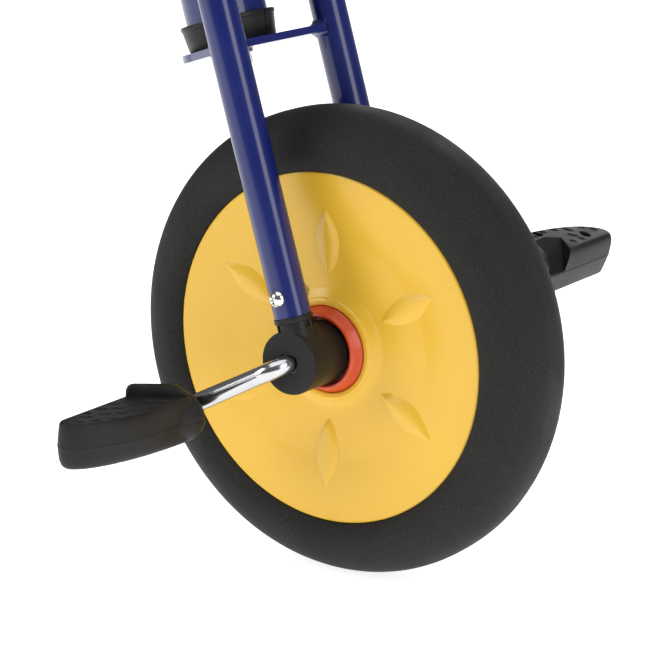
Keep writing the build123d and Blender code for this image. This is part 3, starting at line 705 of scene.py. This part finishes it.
class Assembly:
    """A sub-assembly: hands each finished piece to its body, slot and nodes."""

    def __init__(self, finishes: Finishes, sizes: WheelSizes | ForkSizes | PedalSizes) -> None:
        """Keep the finishes and sizes."""
        self.finishes = finishes
        self.sizes = sizes

    def hand_over(self, piece: Piece, body: str, slot: str, *nodes: str) -> None:
        """Dress a piece and fix it to the part.

        Args:
            piece: The finished piece.
            body: The body it rides on.
            slot: The material slot it takes its finish from.
            *nodes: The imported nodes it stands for.
        """
        self.finishes.dress(piece, slot)
        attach(piece, body)
        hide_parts(*nodes)
        LOG.info("%s on %s: %d faces", piece.name, body, len(piece.data.polygons))


@dataclass
class WheelSizes:
    """The wheel's profile sizes, in millimetres."""

    tyre_r: float = 155.0
    tyre_half_w: float = 32.0
    shoulder_r: float = 28.7
    rim_r: float = 116.0
    rim_y: float = 27.8
    crease_r: float = 75.0
    crease_y: float = 24.2
    dish_r: float = 39.0
    dish_y: float = 22.4
    lip_r: float = 34.0
    lip_y: float = 26.9
    collar_r: float = 29.0
    wall: float = 3.0
    leaf_count: int = 6
    leaf_in_r: float = 45.5
    leaf_out_r: float = 96.5
    leaf_width: float = 17.5


class Wheel(Assembly):
    """The tyre, the two discs and the two hub collars."""

    sizes: WheelSizes

    def build(self) -> None:
        """Build every piece of the wheel."""
        self.make_tyre()
        for side in Side:
            self.make_disc(side)
            self.make_collar(side)

    def make_tyre(self) -> None:
        """Turn the tyre: a round crown over nearly flat sides, tucked in where it meets the rim."""
        s = self.sizes
        shoulder = (s.tyre_r - s.shoulder_r, s.tyre_half_w - s.shoulder_r)
        half: Profile = [
            (s.rim_r + 0.15, 0.0), (s.rim_r + 0.15, s.rim_y - 0.5), (s.rim_r + 0.5, s.rim_y + 0.1),
            (s.rim_r + 2.6, s.rim_y + 1.5), (s.rim_r + 5.5, s.rim_y + 2.9),
            (s.rim_r + 8.4, s.rim_y + 3.8),
        ]
        half += arc(shoulder, (s.shoulder_r, s.shoulder_r), range(90, -1, -6))
        profile = half + [(r, -y) for r, y in reversed(half[1:])]
        tyre = Bench.turned("foam_tyre", profile, True, FINE, outward())
        Bench.smooth(tyre, 40.0)
        self.hand_over(tyre, "wheel", "tyre", "tyre")

    def disc_profile(self) -> Profile:
        """The section of one disc as (radius, height): face, lip, hub floor and back."""
        s = self.sizes
        rise = s.rim_y - s.crease_y
        face: Profile = [
            (s.rim_r, 0.0), (s.rim_r, s.rim_y - 1.3), (s.rim_r - 0.4, s.rim_y - 0.5),
            (s.rim_r - 1.3, s.rim_y),
        ]
        reach = s.rim_r - 2.0 - s.crease_r
        for step in range(11, 0, -1):
            share = step / 12
            face.append((s.crease_r + 0.5 + reach * share, s.crease_y + rise * (1 - (1 - share) ** 2)))
        face += [
            (s.crease_r + 0.5, s.crease_y + 0.1), (s.crease_r - 0.5, s.crease_y),
            (s.crease_r - 12, s.crease_y - 0.75), (s.crease_r - 24, s.crease_y - 1.35),
            (s.dish_r + 3.5, s.dish_y + 0.05), (s.dish_r + 1.2, s.dish_y + 0.25),
            (s.dish_r - 0.6, s.dish_y + 0.9), (s.lip_r + 2.0, s.dish_y + 2.2),
            (s.lip_r + 0.4, s.lip_y - 1.6), (s.lip_r - 0.5, s.lip_y - 0.5), (s.lip_r - 1.6, s.lip_y),
            (s.lip_r - 3.2, s.lip_y), (s.collar_r + 0.9, s.lip_y - 0.3),
            (s.collar_r + 0.15, s.lip_y - 1.0), (s.collar_r + 0.15, 18.0), (16.3, 18.0), (16.3, 15.0),
        ]
        back = [
            (s.lip_r, 15.0), (s.lip_r + 2.0, s.dish_y - s.wall), (s.crease_r, s.crease_y - s.wall),
            (s.rim_r - 8.0, s.rim_y - s.wall - 0.9), (s.rim_r - 4.2, s.rim_y - s.wall - 2.0),
            (s.rim_r - 3.5, 0.0),
        ]
        return face + back

    def make_leaf(self) -> Piece:
        """One raised leaf: a lens outline with a soft edge and a crowned top, on the disc's slope."""
        s = self.sizes
        half_l = (s.leaf_out_r - s.leaf_in_r) / 2
        half_w = s.leaf_width / 2
        bow = (half_l**2 + half_w**2) / (2 * half_w)
        spread = math.asin(half_l / bow)
        arc = [spread * (1 - step / 10) for step in range(21)]
        upper = [(bow * math.sin(turn), bow * math.cos(turn) - bow + half_w) for turn in arc]
        blunt = [(x * (1 - 0.035 * abs(x / half_l) ** 6), y) for x, y in upper]
        leaf = Bench.outline("leaf", blunt + [(x, -y) for x, y in reversed(blunt[1:-1])], -2.4)
        Bench.step_up([(1.9, 0.99, 0.98), (0.26, 0.97, 0.90), (0.44, 0.965, 0.875), (0.52, 0.955, 0.83)])
        Bench.step_up([(0.44, 0.94, 0.78), (0.34, 0.915, 0.70), (0.22, 0.88, 0.58), (0.08, 0.84, 0.40)])
        Bench.close_holes()
        middle = (s.leaf_out_r + s.leaf_in_r) / 2
        low, high = s.dish_y + 0.45, s.crease_y + 2.35
        lean = math.atan2(high - low, s.leaf_out_r - s.leaf_in_r)
        centre = Vector((middle, 0, (low + high) / 2)) * MM
        upright = Matrix.Rotation(math.radians(90.0), 4, "Z")
        leaf.matrix_world = upright @ Matrix.Translation(centre) @ Matrix.Rotation(-lean, 4, "Y")
        return Bench.freeze(leaf)

    def make_disc(self, side: Side) -> None:
        """Turn one disc and weld the ring of leaves to its face.

        Args:
            side: The side it faces.
        """
        s = self.sizes
        disc = Bench.lathe(f"{side.word}_disc_shell", self.disc_profile(), True, FINE)
        leaves = self.make_leaf()
        Bench.take(leaves)
        Bench.edit()
        last = s.leaf_count - 1
        turn = 2 * math.pi * last / s.leaf_count
        bpy.ops.mesh.spin(steps=last, angle=turn, center=(0, 0, 0), axis=(0, 0, 1), dupli=True)
        Bench.leave()
        Bench.combine(disc, [leaves], "UNION")
        Bench.put(disc, outward(side))
        Bench.smooth(disc, 24.0)
        self.hand_over(disc, "wheel", "disc_plastic", f"{side.word}_wheel_disc")

    def make_collar(self, side: Side) -> None:
        """Turn the cone-shaped collar, open in the middle for the housing.

        Args:
            side: The side it faces.
        """
        profile: Profile = [
            (15.2, 18.1), (28.85, 18.1), (28.85, 25.2), (28.6, 25.9), (28.1, 26.5), (27.4, 27.4),
            (25.6, 32.0), (25.1, 32.9), (24.3, 33.4), (23.5, 33.4), (22.9, 33.0), (22.6, 32.2),
            (22.6, 22.6), (21.8, 21.6), (15.2, 21.5),
        ]
        collar = Bench.turned(f"{side.word}_collar_ring", profile, True, ROUND, outward(side))
        Bench.smooth(collar)
        self.hand_over(collar, "wheel", "collar_plastic", f"{side.word}_hub_collar")


@dataclass
class ForkSizes:
    """The fork's sizes, in millimetres."""

    leg_forward: float = 40.1
    leg_spread: float = 57.3
    leg_r: float = 12.0
    leg_screw: float = 41.7
    plate_levels: tuple[Point, Point] = ((199.5, 204.5), (324.5, 329.5))
    weld: float = 3.6
    cup_r: float = 29.0
    cup_lip_r: float = 31.4
    cup_h: float = 17.4
    cup_floor: float = 5.0
    cup_gap: float = 0.4


class Fork(Assembly):
    """The axle housings, screws, weld beads and head cups; turns are in degrees."""

    sizes: ForkSizes
    SLOT_TURNS = (-62.0, -25.0, 12.0, 118.0, 155.0, 192.0)
    BEAD_SWEEP = 116.0
    BEAD_TURN = 38.0

    def build(self) -> None:
        """Build every piece of the fork and head."""
        for side in Side:
            self.make_housing(side)
        self.make_screws()
        self.make_welds()
        self.make_cup("lower_cup_shell", "lower_head_cup", False)
        self.make_cup("upper_cup_shell", "upper_head_cup", True)

    def leg_place(self, side: Side, height: float) -> Place:
        """A frame on one fork tube's line, z up the tube, height in millimetres."""
        s = self.sizes
        return steer_place(height * MM, s.leg_forward * MM, side.value * s.leg_spread * MM)

    def make_housing(self, side: Side) -> None:
        """Turn the barrel, weld on its slotted neck and bore it for the crank rod.

        Args:
            side: The side it stands on.
        """
        barrel_profile: Profile = [
            (7.0, 65.0), (7.0, 67.6), (7.4, 68.0), (19.3, 68.0), (20.0, 67.8), (20.4, 67.3),
            (20.6, 66.6), (20.6, 31.0), (20.3, 30.3), (19.8, 30.0), (10.2, 30.0), (10.2, 65.0),
        ]
        name = f"{side.word}_housing_body"
        barrel = Bench.turned(name, barrel_profile, True, ROUND, outward(side))
        leg = self.leg_place(side, 0.0)
        neck_profile: Profile = [
            (0.0, 12.0), (11.6, 12.0), (11.6, 24.6), (12.3, 25.0), (12.6, 25.6), (12.6, 28.0),
            (12.3, 28.5), (9.9, 28.6), (9.9, 54.0), (0.0, 54.0),
        ]
        neck = Bench.turned("neck", neck_profile, False, 96, leg)
        Bench.combine(barrel, [neck], "UNION")
        slots = [self.make_slot(leg, turn * side.value) for turn in self.SLOT_TURNS]
        Bench.combine(barrel, slots, "DIFFERENCE")
        bore_profile: Profile = [
            (0.0, 20.0), (10.2, 20.0), (10.2, 65.0), (7.0, 65.0), (7.0, 80.0), (0.0, 80.0),
        ]
        bore = Bench.turned("bore", bore_profile, False, ROUND, outward(side))
        hole_profile = [(0, -20), (3.05, -20), (3.05, 20), (0, 20)]
        screw_hole = Bench.turned("screw_hole", hole_profile, False, 32, self.screw_place(side))
        trim_profile = [(0, 68.02), (20.9, 68.02), (20.9, 80), (0, 80)]
        trim = Bench.turned("trim", trim_profile, False, 64, outward(side))
        Bench.combine(barrel, [bore, screw_hole, trim], "DIFFERENCE")
        Bench.smooth(barrel)
        self.hand_over(barrel, "fork", "black_plastic", f"{side.word}_axle_housing")

    def make_slot(self, leg: Place, turn: float) -> Piece:
        """A small block that cuts one slot in the neck, at a turn in degrees from straight ahead."""
        angle = math.radians(turn)
        block = Bench.bar("slot", (-1.6, -2.1), (1.6, 2.1), 0.0, (0.02, 4.4))
        out = leg.x_dir * math.cos(angle) + leg.y_dir * math.sin(angle)
        along = leg.z_dir.cross(out)
        place = Place(leg.origin + out * 12.0 * MM + leg.z_dir * 20.2 * MM, out, along, leg.z_dir)
        return Bench.put(block, place)

    def screw_place(self, side: Side) -> Place:
        """A frame on a housing screw's line, z out to the side."""
        leg = self.leg_place(side, self.sizes.leg_screw)
        out = float(side.value)
        return Place(leg.origin, leg.x_dir, leg.z_dir * -out, Vector((0, out, 0)))

    def make_screws(self) -> None:
        """Turn the two domed screws and cut a cross recess in each head."""
        made = []
        profile: Profile = [
            (0.0, 15.95), (1.2, 15.90), (2.4, 15.6), (3.5, 15.0), (4.5, 14.1), (5.2, 13.1),
            (5.55, 12.3), (5.55, 12.05), (3.0, 12.05), (3.0, -16.0), (2.6, -16.4), (0.0, -16.4),
        ]
        for side in Side:
            screw = Bench.lathe(f"{side.word}_screw", profile, False, 48)
            for wide, deep in ((2.3, 0.45), (0.45, 2.3)):
                arm = Bench.bar("arm", (-wide, -deep), (wide, deep), 14.3, (0.02, 3.0))
                Bench.combine(screw, [arm], "DIFFERENCE")
            made.append(Bench.put(screw, self.screw_place(side)))
        pair = Bench.join(made, "domed_screws")
        Bench.smooth(pair)
        self.hand_over(pair, "fork", "screw_chrome", "housing_screws")

    def make_welds(self) -> None:
        """Lay a rippled bead round the plate's side of each fork tube, on both faces of both plates."""
        s = self.sizes
        ripple = bpy.data.textures.new("weld_ripple", "CLOUDS")
        ripple.noise_scale = 2.6 * MM
        beads = []
        for side in Side:
            for low, high in s.plate_levels:
                for level, up in ((low, -1.0), (high, 1.0)):
                    beads.append(self.make_bead(side, level, up, ripple))
        bead = Bench.join(beads, "crown_weld_beads")
        Bench.smooth(bead, 60.0)
        self.hand_over(bead, "fork", "frame_paint", "crown_welds")

    def make_bead(self, side: Side, level: float, up: float, ripple: bpy.types.Texture) -> Piece:
        """One bead: a soft hollow fillet swept round the plate's side of a tube.

        Args:
            side: The tube's side.
            level: The plate face's height.
            up: 1 above the plate, -1 below.
            ripple: The texture that makes it uneven.

        Returns:
            The bead.
        """
        s = self.sizes
        inner, reach = s.leg_r - 0.3, s.weld
        profile: Profile = [
            (inner, -0.3), (s.leg_r + reach, -0.3), (s.leg_r + reach, 0.25),
            (s.leg_r + reach * 0.62, 0.9), (s.leg_r + reach * 0.34, 1.9), (s.leg_r + 0.7, reach * 0.8),
            (s.leg_r + 0.2, reach), (inner, reach),
        ]
        bead = Bench.lathe("bead", profile, True, 32, self.BEAD_SWEEP)
        Bench.take(bead)
        Bench.edit()
        Bench.close_holes()
        Bench.apply(bead, "SUBSURF", levels=1, render_levels=1)
        middle = sum((vertex.co for vertex in bead.data.vertices), Vector()) / len(bead.data.vertices)
        bead.matrix_world = Matrix.Rotation(-math.atan2(middle.y, middle.x), 4, "Z")
        Bench.freeze(bead)
        leg = self.leg_place(side, level)
        behind = math.radians(self.BEAD_TURN)
        facing = leg.y_dir * (-side.value * math.cos(behind)) - leg.x_dir * math.sin(behind)
        along = leg.z_dir * up
        Bench.put(bead, Place(leg.origin, facing, along.cross(facing), along))
        waves = {"texture": ripple, "strength": 0.5 * MM, "mid_level": 0.5, "texture_coords": "LOCAL"}
        return Bench.apply(bead, "DISPLACE", **waves)

    def make_cup(self, name: str, node: str, upper: bool) -> None:
        """Turn a lipped head cup with its two mould seams.

        Args:
            name: The piece's name.
            node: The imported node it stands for.
            upper: Whether it is the cup at the top, which is the other way up.
        """
        s = self.sizes
        wide = s.cup_lip_r - 0.6
        lip = s.cup_h - 3.2
        profile: Profile = [
            (12.1, 0.0), (s.cup_r - 1.2, 0.0), (s.cup_r - 0.4, 0.3), (s.cup_r, 1.1), (wide, lip),
            (wide + 0.5, lip + 0.35), (s.cup_lip_r, lip + 1.0), (s.cup_lip_r, s.cup_h - 0.8),
            (s.cup_lip_r - 0.3, s.cup_h - 0.2), (s.cup_lip_r - 1.0, s.cup_h), (27.7, s.cup_h),
            (27.15, s.cup_h - 0.5), (27.15, s.cup_floor), (12.1, s.cup_floor),
        ]
        cup = Bench.lathe(name, profile, True, ROUND)
        for turn in (0.0, 180.0):
            seam = Bench.bar("seam", (28.2, -0.45), (33.0, 0.45), -1.0, (0.01, 20.0))
            seam.matrix_world = Matrix.Rotation(math.radians(turn), 4, "Z")
            Bench.combine(cup, [Bench.freeze(seam)], "DIFFERENCE")
        level = s.plate_levels[1][0] - s.cup_gap if upper else s.plate_levels[0][1] + s.cup_gap
        base = steer_place(level * MM)
        if upper:
            base = Place(base.origin, base.x_dir, base.y_dir * -1.0, base.z_dir * -1.0)
        Bench.put(cup, base)
        Bench.smooth(cup)
        self.hand_over(cup, "head", "black_plastic", node)


@dataclass
class PedalSizes:
    """One pedal's sizes, in millimetres: x to the ridge edge, v out along the spindle."""

    length: float = 98.5
    front: float = 21.0
    rear: float = 17.4
    nose_r: float = 8.4
    corner: float = 8.0
    top: float = 15.5
    base: float = 15.0
    mouth_r: float = 7.5
    mouth_depth: float = 66.0
    guard_reach: float = 4.5
    guard_r: float = 18.0
    guard_half_w: float = 21.6
    guard_x: float = -4.0
    boss_r: float = 9.4
    boss_end: float = 46.0
    ridge_h: float = 7.0
    ridge_t: float = 5.8
    ridge_rear: Point = (15.0, 30.0)
    ridge_front: Point = (-16.0, 4.3)


@dataclass(frozen=True)
class Dimple:
    """A shallow leaf-shaped dimple in a pedal face: its place, and half sizes in millimetres."""

    x: float
    v: float
    half_l: float = 4.8
    half_w: float = 2.3
    depth: float = 1.3
    turn: float = -42.0

    @classmethod
    def rows(cls, *rows: tuple[float, ...]) -> tuple[Dimple, ...]:
        """Dimples from rows of their values."""
        return tuple(cls(*row) for row in rows)


class Pedals(Assembly):
    """The two moulded pedals, each a tread shell and a base shell."""

    TREAD_DIMPLES = Dimple.rows(
        (-10.5, 20.5), (-11.5, 33.0), (-3.6, 27.5), (-9.0, 46.0), (-1.8, 40.0), (5.5, 38.0),
        (-5.0, 57.5), (3.2, 52.0), (10.4, 47.0), (-8.0, 69.0, 3.6), (2.2, 66.0), (9.8, 60.5),
        (-2.0, 79.0, 3.6), (7.0, 78.0), (4.4, 88.0, 2.8),
    )
    TREAD_HOLE = Dimple(11.6, 72.0, 3.6, 1.7, 5.0)
    BASE_DIMPLES = Dimple.rows(
        (-10.5, 24.0), (-11.8, 37.5), (-4.6, 62.0), (-10.2, 50.0), (-10.0, 63.5, 3.6),
        (1.8, 58.0), (7.2, 49.5, 3.4), (-3.0, 76.5, 3.8), (3.6, 84.0, 3.2), (8.0, 60.0, 3.0),
    )
    SCREW_HOLES = ((-11.5, 32.0), (5.0, 70.0))

    sizes: PedalSizes

    def build(self) -> None:
        """Build both pedals."""
        self.make_pedal(Side.RIGHT, 2.5, False)
        self.make_pedal(Side.LEFT, 19.0, True)

    @staticmethod
    def pedal_place(side: Side, tilt: float, flipped: bool) -> Place:
        """The frame of a pedal's parting plane: x to the ridge edge, y out, z to the tread.

        Args:
            side: The pedal's side.
            tilt: How far its front edge hangs down, in degrees.
            flipped: Whether it has turned over, tread down.

        Returns:
            The frame.
        """
        turn = math.radians(tilt)
        up = Vector((math.sin(turn), 0, math.cos(turn)))
        back = Vector((-math.cos(turn), 0, math.sin(turn)))
        if flipped:
            up, back = up * -1.0, back * -1.0
        origin = Vector(joint(f"{side.word}_pedal_spin")["pos_m"])
        return Place(origin, back, Vector((0, float(side.value), 0)), up)

    def plan(self) -> Profile:
        """The pedal's outline on its parting plane, corners rounded at the inner end."""
        s = self.sizes
        nose_x = s.rear - s.nose_r
        points = arc((s.rear - s.corner, s.corner), (s.corner, -s.corner), range(0, 91, 15))
        points += arc((s.corner - s.front, s.corner), (s.corner, -s.corner), range(90, 181, 15))
        points += arc((nose_x, 0.0), (-nose_x - s.front, s.length), range(6, 91, 3))
        points += arc((nose_x, s.length - s.nose_r), (s.nose_r, s.nose_r), range(80, -1, -10))
        return points + [(s.rear, v) for v in (75.0, 60.0, 45.0, 30.0, 16.0)]

    def shell(self, name: str, up: float) -> Piece:
        """One shell: the outline raised in steps that round its edge, closed at the parting plane.

        Args:
            name: The shell's name.
            up: 1 for the tread side, -1 for the base side.

        Returns:
            The closed shell in the pedal's own frame.
        """
        tread = [
            (0.25, 0.25), (0.25, 5.0), (0.40, 5.0), (0.40, 3.4), (0.35, 0.75), (0.45, 0.55),
            (0.55, 0.35), (0.6, 0.2),
        ]
        base = [
            (0.25, 0.25), (0.35, 4.2), (0.55, 4.0), (0.80, 2.9), (0.95, 1.7), (0.95, 1.0), (0.9, 0.6),
            (0.8, 0.35),
        ]
        piece = Bench.outline(name, self.plan())
        Bench.step_in(tread if up > 0 else base)
        Bench.close_holes()
        if up < 0:
            piece.scale.z = -1.0
            Bench.settle(piece)
        return piece

    @staticmethod
    def oval(shape: Dimple, level: float) -> Piece:
        """A flattened ball, its middle just clear of a face, that presses one dimple into it.

        Args:
            shape: The dimple.
            level: The face's level in millimetres, below nought for the base.

        Returns:
            The ball.
        """
        lifted = level + math.copysign(shape.depth * 0.3, level)
        Bench.deselect()
        bpy.ops.mesh.primitive_uv_sphere_add(segments=18, ring_count=10, radius=MM)
        ball = bpy.context.object
        ball.scale = (shape.half_w, shape.half_l, shape.depth)
        ball.rotation_euler.z = math.radians(shape.turn)
        ball.location = Vector((shape.x, shape.v, lifted)) * MM
        return Bench.freeze(ball)

    @staticmethod
    def block(name: str, points: Profile, low: float, high: float) -> Piece:
        """A straight-sided block on an outline between two levels, in millimetres."""
        piece = Bench.outline(name, points, low)
        Bench.raise_by(high - low)
        Bench.close_holes()
        return piece

    @staticmethod
    def along_spindle(name: str, profile: Profile, steps: int) -> Piece:
        """Turn a profile of (radius, distance out) round the spindle line."""
        return Bench.turned(name, profile, False, steps, outward(origin=Vector()))

    def halved(self, piece: Piece, up: float) -> Piece:
        """Keep only the tread's or the base's half of a piece that crosses the parting plane."""
        levels = (-30.0, 0.12) if up > 0 else (-0.12, 30.0)
        waste = self.block("waste", [(-40, -12), (40, -12), (40, 80), (-40, 80)], *levels)
        return Bench.combine(piece, [waste], "DIFFERENCE")

    def guard(self, up: float) -> Piece:
        """Half of the crowned guard at the inner end, which swells past the shells and dies away."""
        s = self.sizes
        r, reach = s.guard_r, s.guard_reach
        profile: Profile = [
            (0, -reach), (r - 4.6, -reach), (r - 2.6, 0.6 - reach), (r - 1.1, 1.9 - reach),
            (r - 0.3, 3.7 - reach), (r, 6.0 - reach), (r - 0.3, 9.5 - reach), (r - 1.3, 14.0 - reach),
            (r - 3.0, 19.0 - reach), (r - 5.4, 24.5 - reach), (0, 24.5 - reach),
        ]
        guard = self.along_spindle("guard", profile, 72)
        guard.scale.x = s.guard_half_w / r
        guard.location.x = s.guard_x * MM
        return self.halved(Bench.freeze(guard), up)

    def ridge(self) -> Piece:
        """The toe ridge: a wall slanting across the inner end of the tread, rolled over along its top."""
        s = self.sizes
        top, foot = s.top + s.ridge_h, s.top - 2.0
        run = Vector((s.ridge_front[0] - s.ridge_rear[0], s.ridge_front[1] - s.ridge_rear[1], 0.0))
        length = run.length
        outline = [
            (0.0, foot), (0.2, top - 4.0), (1.4, top - 1.6), (3.2, top - 0.4), (5.4, top),
            (length - 10.5, top), (length - 7.5, top - 0.7), (length - 4.0, top - 3.0),
            (length + 0.5, top - 6.6), (length + 2.0, foot),
        ]
        wall = self.block("ridge", outline, 0.0, s.ridge_t)
        along = run.normalized()
        behind = Vector((-along.y, along.x, 0.0))
        origin = Vector((*s.ridge_rear, 0.0)) * MM + behind * s.ridge_t * MM
        Bench.put(wall, Place(origin, along, Vector((0, 0, 1)), -behind))
        soft = {"width": 1.7 * MM, "segments": 4, "limit_method": "ANGLE", "angle_limit": math.radians(50)}
        return Bench.apply(wall, "BEVEL", **soft)

    def mouth(self) -> Piece:
        """The tool that bores the spindle's hole."""
        s = self.sizes
        profile: Profile = [
            (0, -8), (s.mouth_r + 2.6, -8), (s.mouth_r + 2.4, -3.6), (s.mouth_r + 0.2, -0.8),
            (s.mouth_r, 0.4), (s.mouth_r, s.mouth_depth), (0, s.mouth_depth),
        ]
        return self.along_spindle("mouth", profile, 48)

    def notch(self) -> Piece:
        """The tool that cuts the slanting recess out of the base's rear edge, deepest at the face."""
        face = -self.sizes.base - 4.0
        points = [
            (15.6, -9.0, -0.9), (15.6, 31.5, -0.9), (24.0, 25.0, -0.9), (24.0, -9.0, -0.9),
            (-12.0, -9.0, face), (-12.0, 33.0, face), (-4.5, 49.0, face), (25.0, 28.5, face),
            (25.0, -9.0, face),
        ]
        return Bench.hull("notch", points)

    def press(self, piece: Piece, level: float, dimples: tuple[Dimple, ...]) -> None:
        """Press dimples into a shell's outer face.

        Args:
            piece: The shell.
            level: The face's level, in millimetres.
            dimples: The dimples.
        """
        balls = [self.oval(dimple, level) for dimple in dimples]
        Bench.combine(piece, [Bench.join(balls)], "DIFFERENCE")

    def screw_holes(self) -> Piece:
        """The tool that sinks the two screw holes in the base, mouths slightly flared."""
        face = -self.sizes.base
        profile: Profile = [
            (0, face - 2.0), (4.2, face - 2.0), (4.2, face + 0.1), (3.6, face + 0.7), (3.5, -4.9),
            (0, -4.9),
        ]
        holes = []
        for x, v in self.SCREW_HOLES:
            place = Place(Vector((x, v, 0)) * MM, Vector((1, 0, 0)), Vector((0, 1, 0)), Vector((0, 0, 1)))
            holes.append(Bench.turned("screw_hole", profile, False, 32, place))
        return Bench.join(holes)

    def make_tread(self, name: str) -> Piece:
        """The tread shell with its guard, ridge and dimples, in the pedal's own frame."""
        tread = self.shell(name, 1.0)
        Bench.combine(tread, [self.guard(1.0), self.ridge()], "UNION")
        self.press(tread, self.sizes.top, self.TREAD_DIMPLES + (self.TREAD_HOLE,))
        return tread

    def make_base(self, name: str) -> Piece:
        """The base shell with its recess, spindle boss, guard and dimples, in the pedal's own frame."""
        s = self.sizes
        base = self.shell(name, -1.0)
        self.press(base, -s.base, self.BASE_DIMPLES)
        Bench.combine(base, [self.notch(), self.screw_holes()], "DIFFERENCE")
        profile: Profile = [
            (0, 0.5), (s.boss_r, 0.5), (s.boss_r, s.boss_end - 3.0), (s.boss_r - 1.2, s.boss_end),
        ]
        boss = self.along_spindle("boss", profile + [(0, s.boss_end)], 64)
        Bench.combine(base, [self.halved(boss, -1.0), self.guard(-1.0)], "UNION")
        return base

    def make_pedal(self, side: Side, tilt: float, flipped: bool) -> None:
        """Build both shells of one pedal and put them in place.

        Args:
            side: The pedal's side.
            tilt: How far its front edge hangs down, in degrees.
            flipped: Whether it has turned over.
        """
        place = self.pedal_place(side, tilt, flipped)
        tread = self.make_tread(f"{side.word}_tread_shell")
        base = self.make_base(f"{side.word}_base_shell")
        for piece, node in ((tread, "pedal_tread"), (base, "pedal_base")):
            Bench.combine(piece, [self.mouth()], "DIFFERENCE")
            Bench.put(piece, place)
            Bench.smooth(piece, 33.0)
            self.hand_over(piece, f"{side.word}_pedal", "pedal_plastic", f"{side.word}_{node}")


@dataclass(frozen=True)
class SoftBox:
    """A square studio light: where it hangs, how wide it is in metres and its power in watts."""

    name: str
    place: Triple
    width: float
    height: float
    power: float


class Studio:
    """The floor, the lights and the camera."""

    FLOOR_SIZE = 26.0
    FLOOR_GLOW = 0.85
    AIR_GLOW = 0.14
    LENS = 135.8
    SENSOR = 36.0
    CLIP = (0.05, 60.0)
    CAMERA_RIGHT = Vector((0.8204, 0.5719, 0.0))
    CAMERA_FORWARD = Vector((-0.5522, 0.7921, -0.2602))
    CAMERA_FROM_WHEEL = Vector((0.8692, -1.2741, 0.4260))
    SOFT_BOXES = (
        SoftBox("top_box", (0.3, -0.3, 2.9), 3.2, 3.2, 40.0),
        SoftBox("side_box", (-2.3, -2.6, 1.5), 1.9, 2.4, 48.0),
        SoftBox("front_box", (3.1, -0.6, 1.3), 1.5, 2.4, 40.0),
        SoftBox("back_box", (-0.8, 3.0, 1.6), 2.6, 2.2, 32.0),
    )

    def build(self) -> None:
        """Build the studio."""
        self.lay_floor()
        self.hang_lights()
        self.set_camera()

    def lay_floor(self) -> None:
        """A wide pale floor that the tyre stands on."""
        Bench.deselect()
        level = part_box("tyre")[0].z
        bpy.ops.mesh.primitive_plane_add(size=self.FLOOR_SIZE, location=(WHEEL_CENTRE.x, 0.0, level))
        floor = bpy.context.object
        floor.name = "studio_floor"
        Bench.edit()
        bpy.ops.mesh.subdivide(number_cuts=3)
        Bench.leave()
        table = NodeTable("pale_floor")
        shade = table.noise(1.5, 2.0)
        colour = table.between((0.93, 0.93, 0.925), (0.95, 0.95, 0.95), shade)
        glow = {"emission_color": colour, "emission_strength": self.FLOOR_GLOW}
        floor.data.materials.append(table.finish(base_color=colour, roughness=0.9, **glow))

    def hang_lights(self) -> None:
        """Four soft boxes and an even pale surround."""
        middle = WHEEL_CENTRE + Vector((0, 0, 0.05))
        for box in self.SOFT_BOXES:
            lamp = bpy.data.lights.new(box.name, "AREA")
            lamp.shape = "RECTANGLE"
            lamp.size = box.width
            lamp.size_y = box.height
            lamp.energy = box.power
            holder = bpy.data.objects.new(box.name, lamp)
            bpy.context.scene.collection.objects.link(holder)
            holder.location = middle + Vector(box.place)
            holder.rotation_euler = (-Vector(box.place)).to_track_quat("-Z", "Y").to_euler()
            holder.visible_camera = False
        world = bpy.data.worlds.new("studio_air")
        bpy.context.scene.world = world
        world.use_nodes = True
        inputs = world.node_tree.nodes["Background"].inputs
        inputs[0].default_value = (1.0, 1.0, 1.0, 1.0)
        inputs[1].default_value = self.AIR_GLOW

    def set_camera(self) -> None:
        """A long lens from the front right, a little above the axle."""
        camera = bpy.data.cameras.new("camera")
        camera.lens = self.LENS
        camera.sensor_width = self.SENSOR
        camera.clip_start, camera.clip_end = self.CLIP
        holder = bpy.data.objects.new("camera", camera)
        bpy.context.scene.collection.objects.link(holder)
        right = self.CAMERA_RIGHT.normalized()
        forward = self.CAMERA_FORWARD.normalized()
        above = right.cross(forward).normalized()
        holder.matrix_world = Place(WHEEL_CENTRE + self.CAMERA_FROM_WHEEL, right, above, -forward).matrix
        bpy.context.scene.camera = holder
        bpy.context.scene.view_settings.view_transform = "Standard"


def main() -> None:
    """Build the looks in order."""
    logging.basicConfig(level=logging.INFO, format="%(message)s")
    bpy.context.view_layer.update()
    Bench.deselect()
    finishes = Finishes()
    finishes.dress_frame()
    Wheel(finishes, WheelSizes()).build()
    Fork(finishes, ForkSizes()).build()
    Pedals(finishes, PedalSizes()).build()
    Studio().build()


if __name__ == "__main__":
    main()
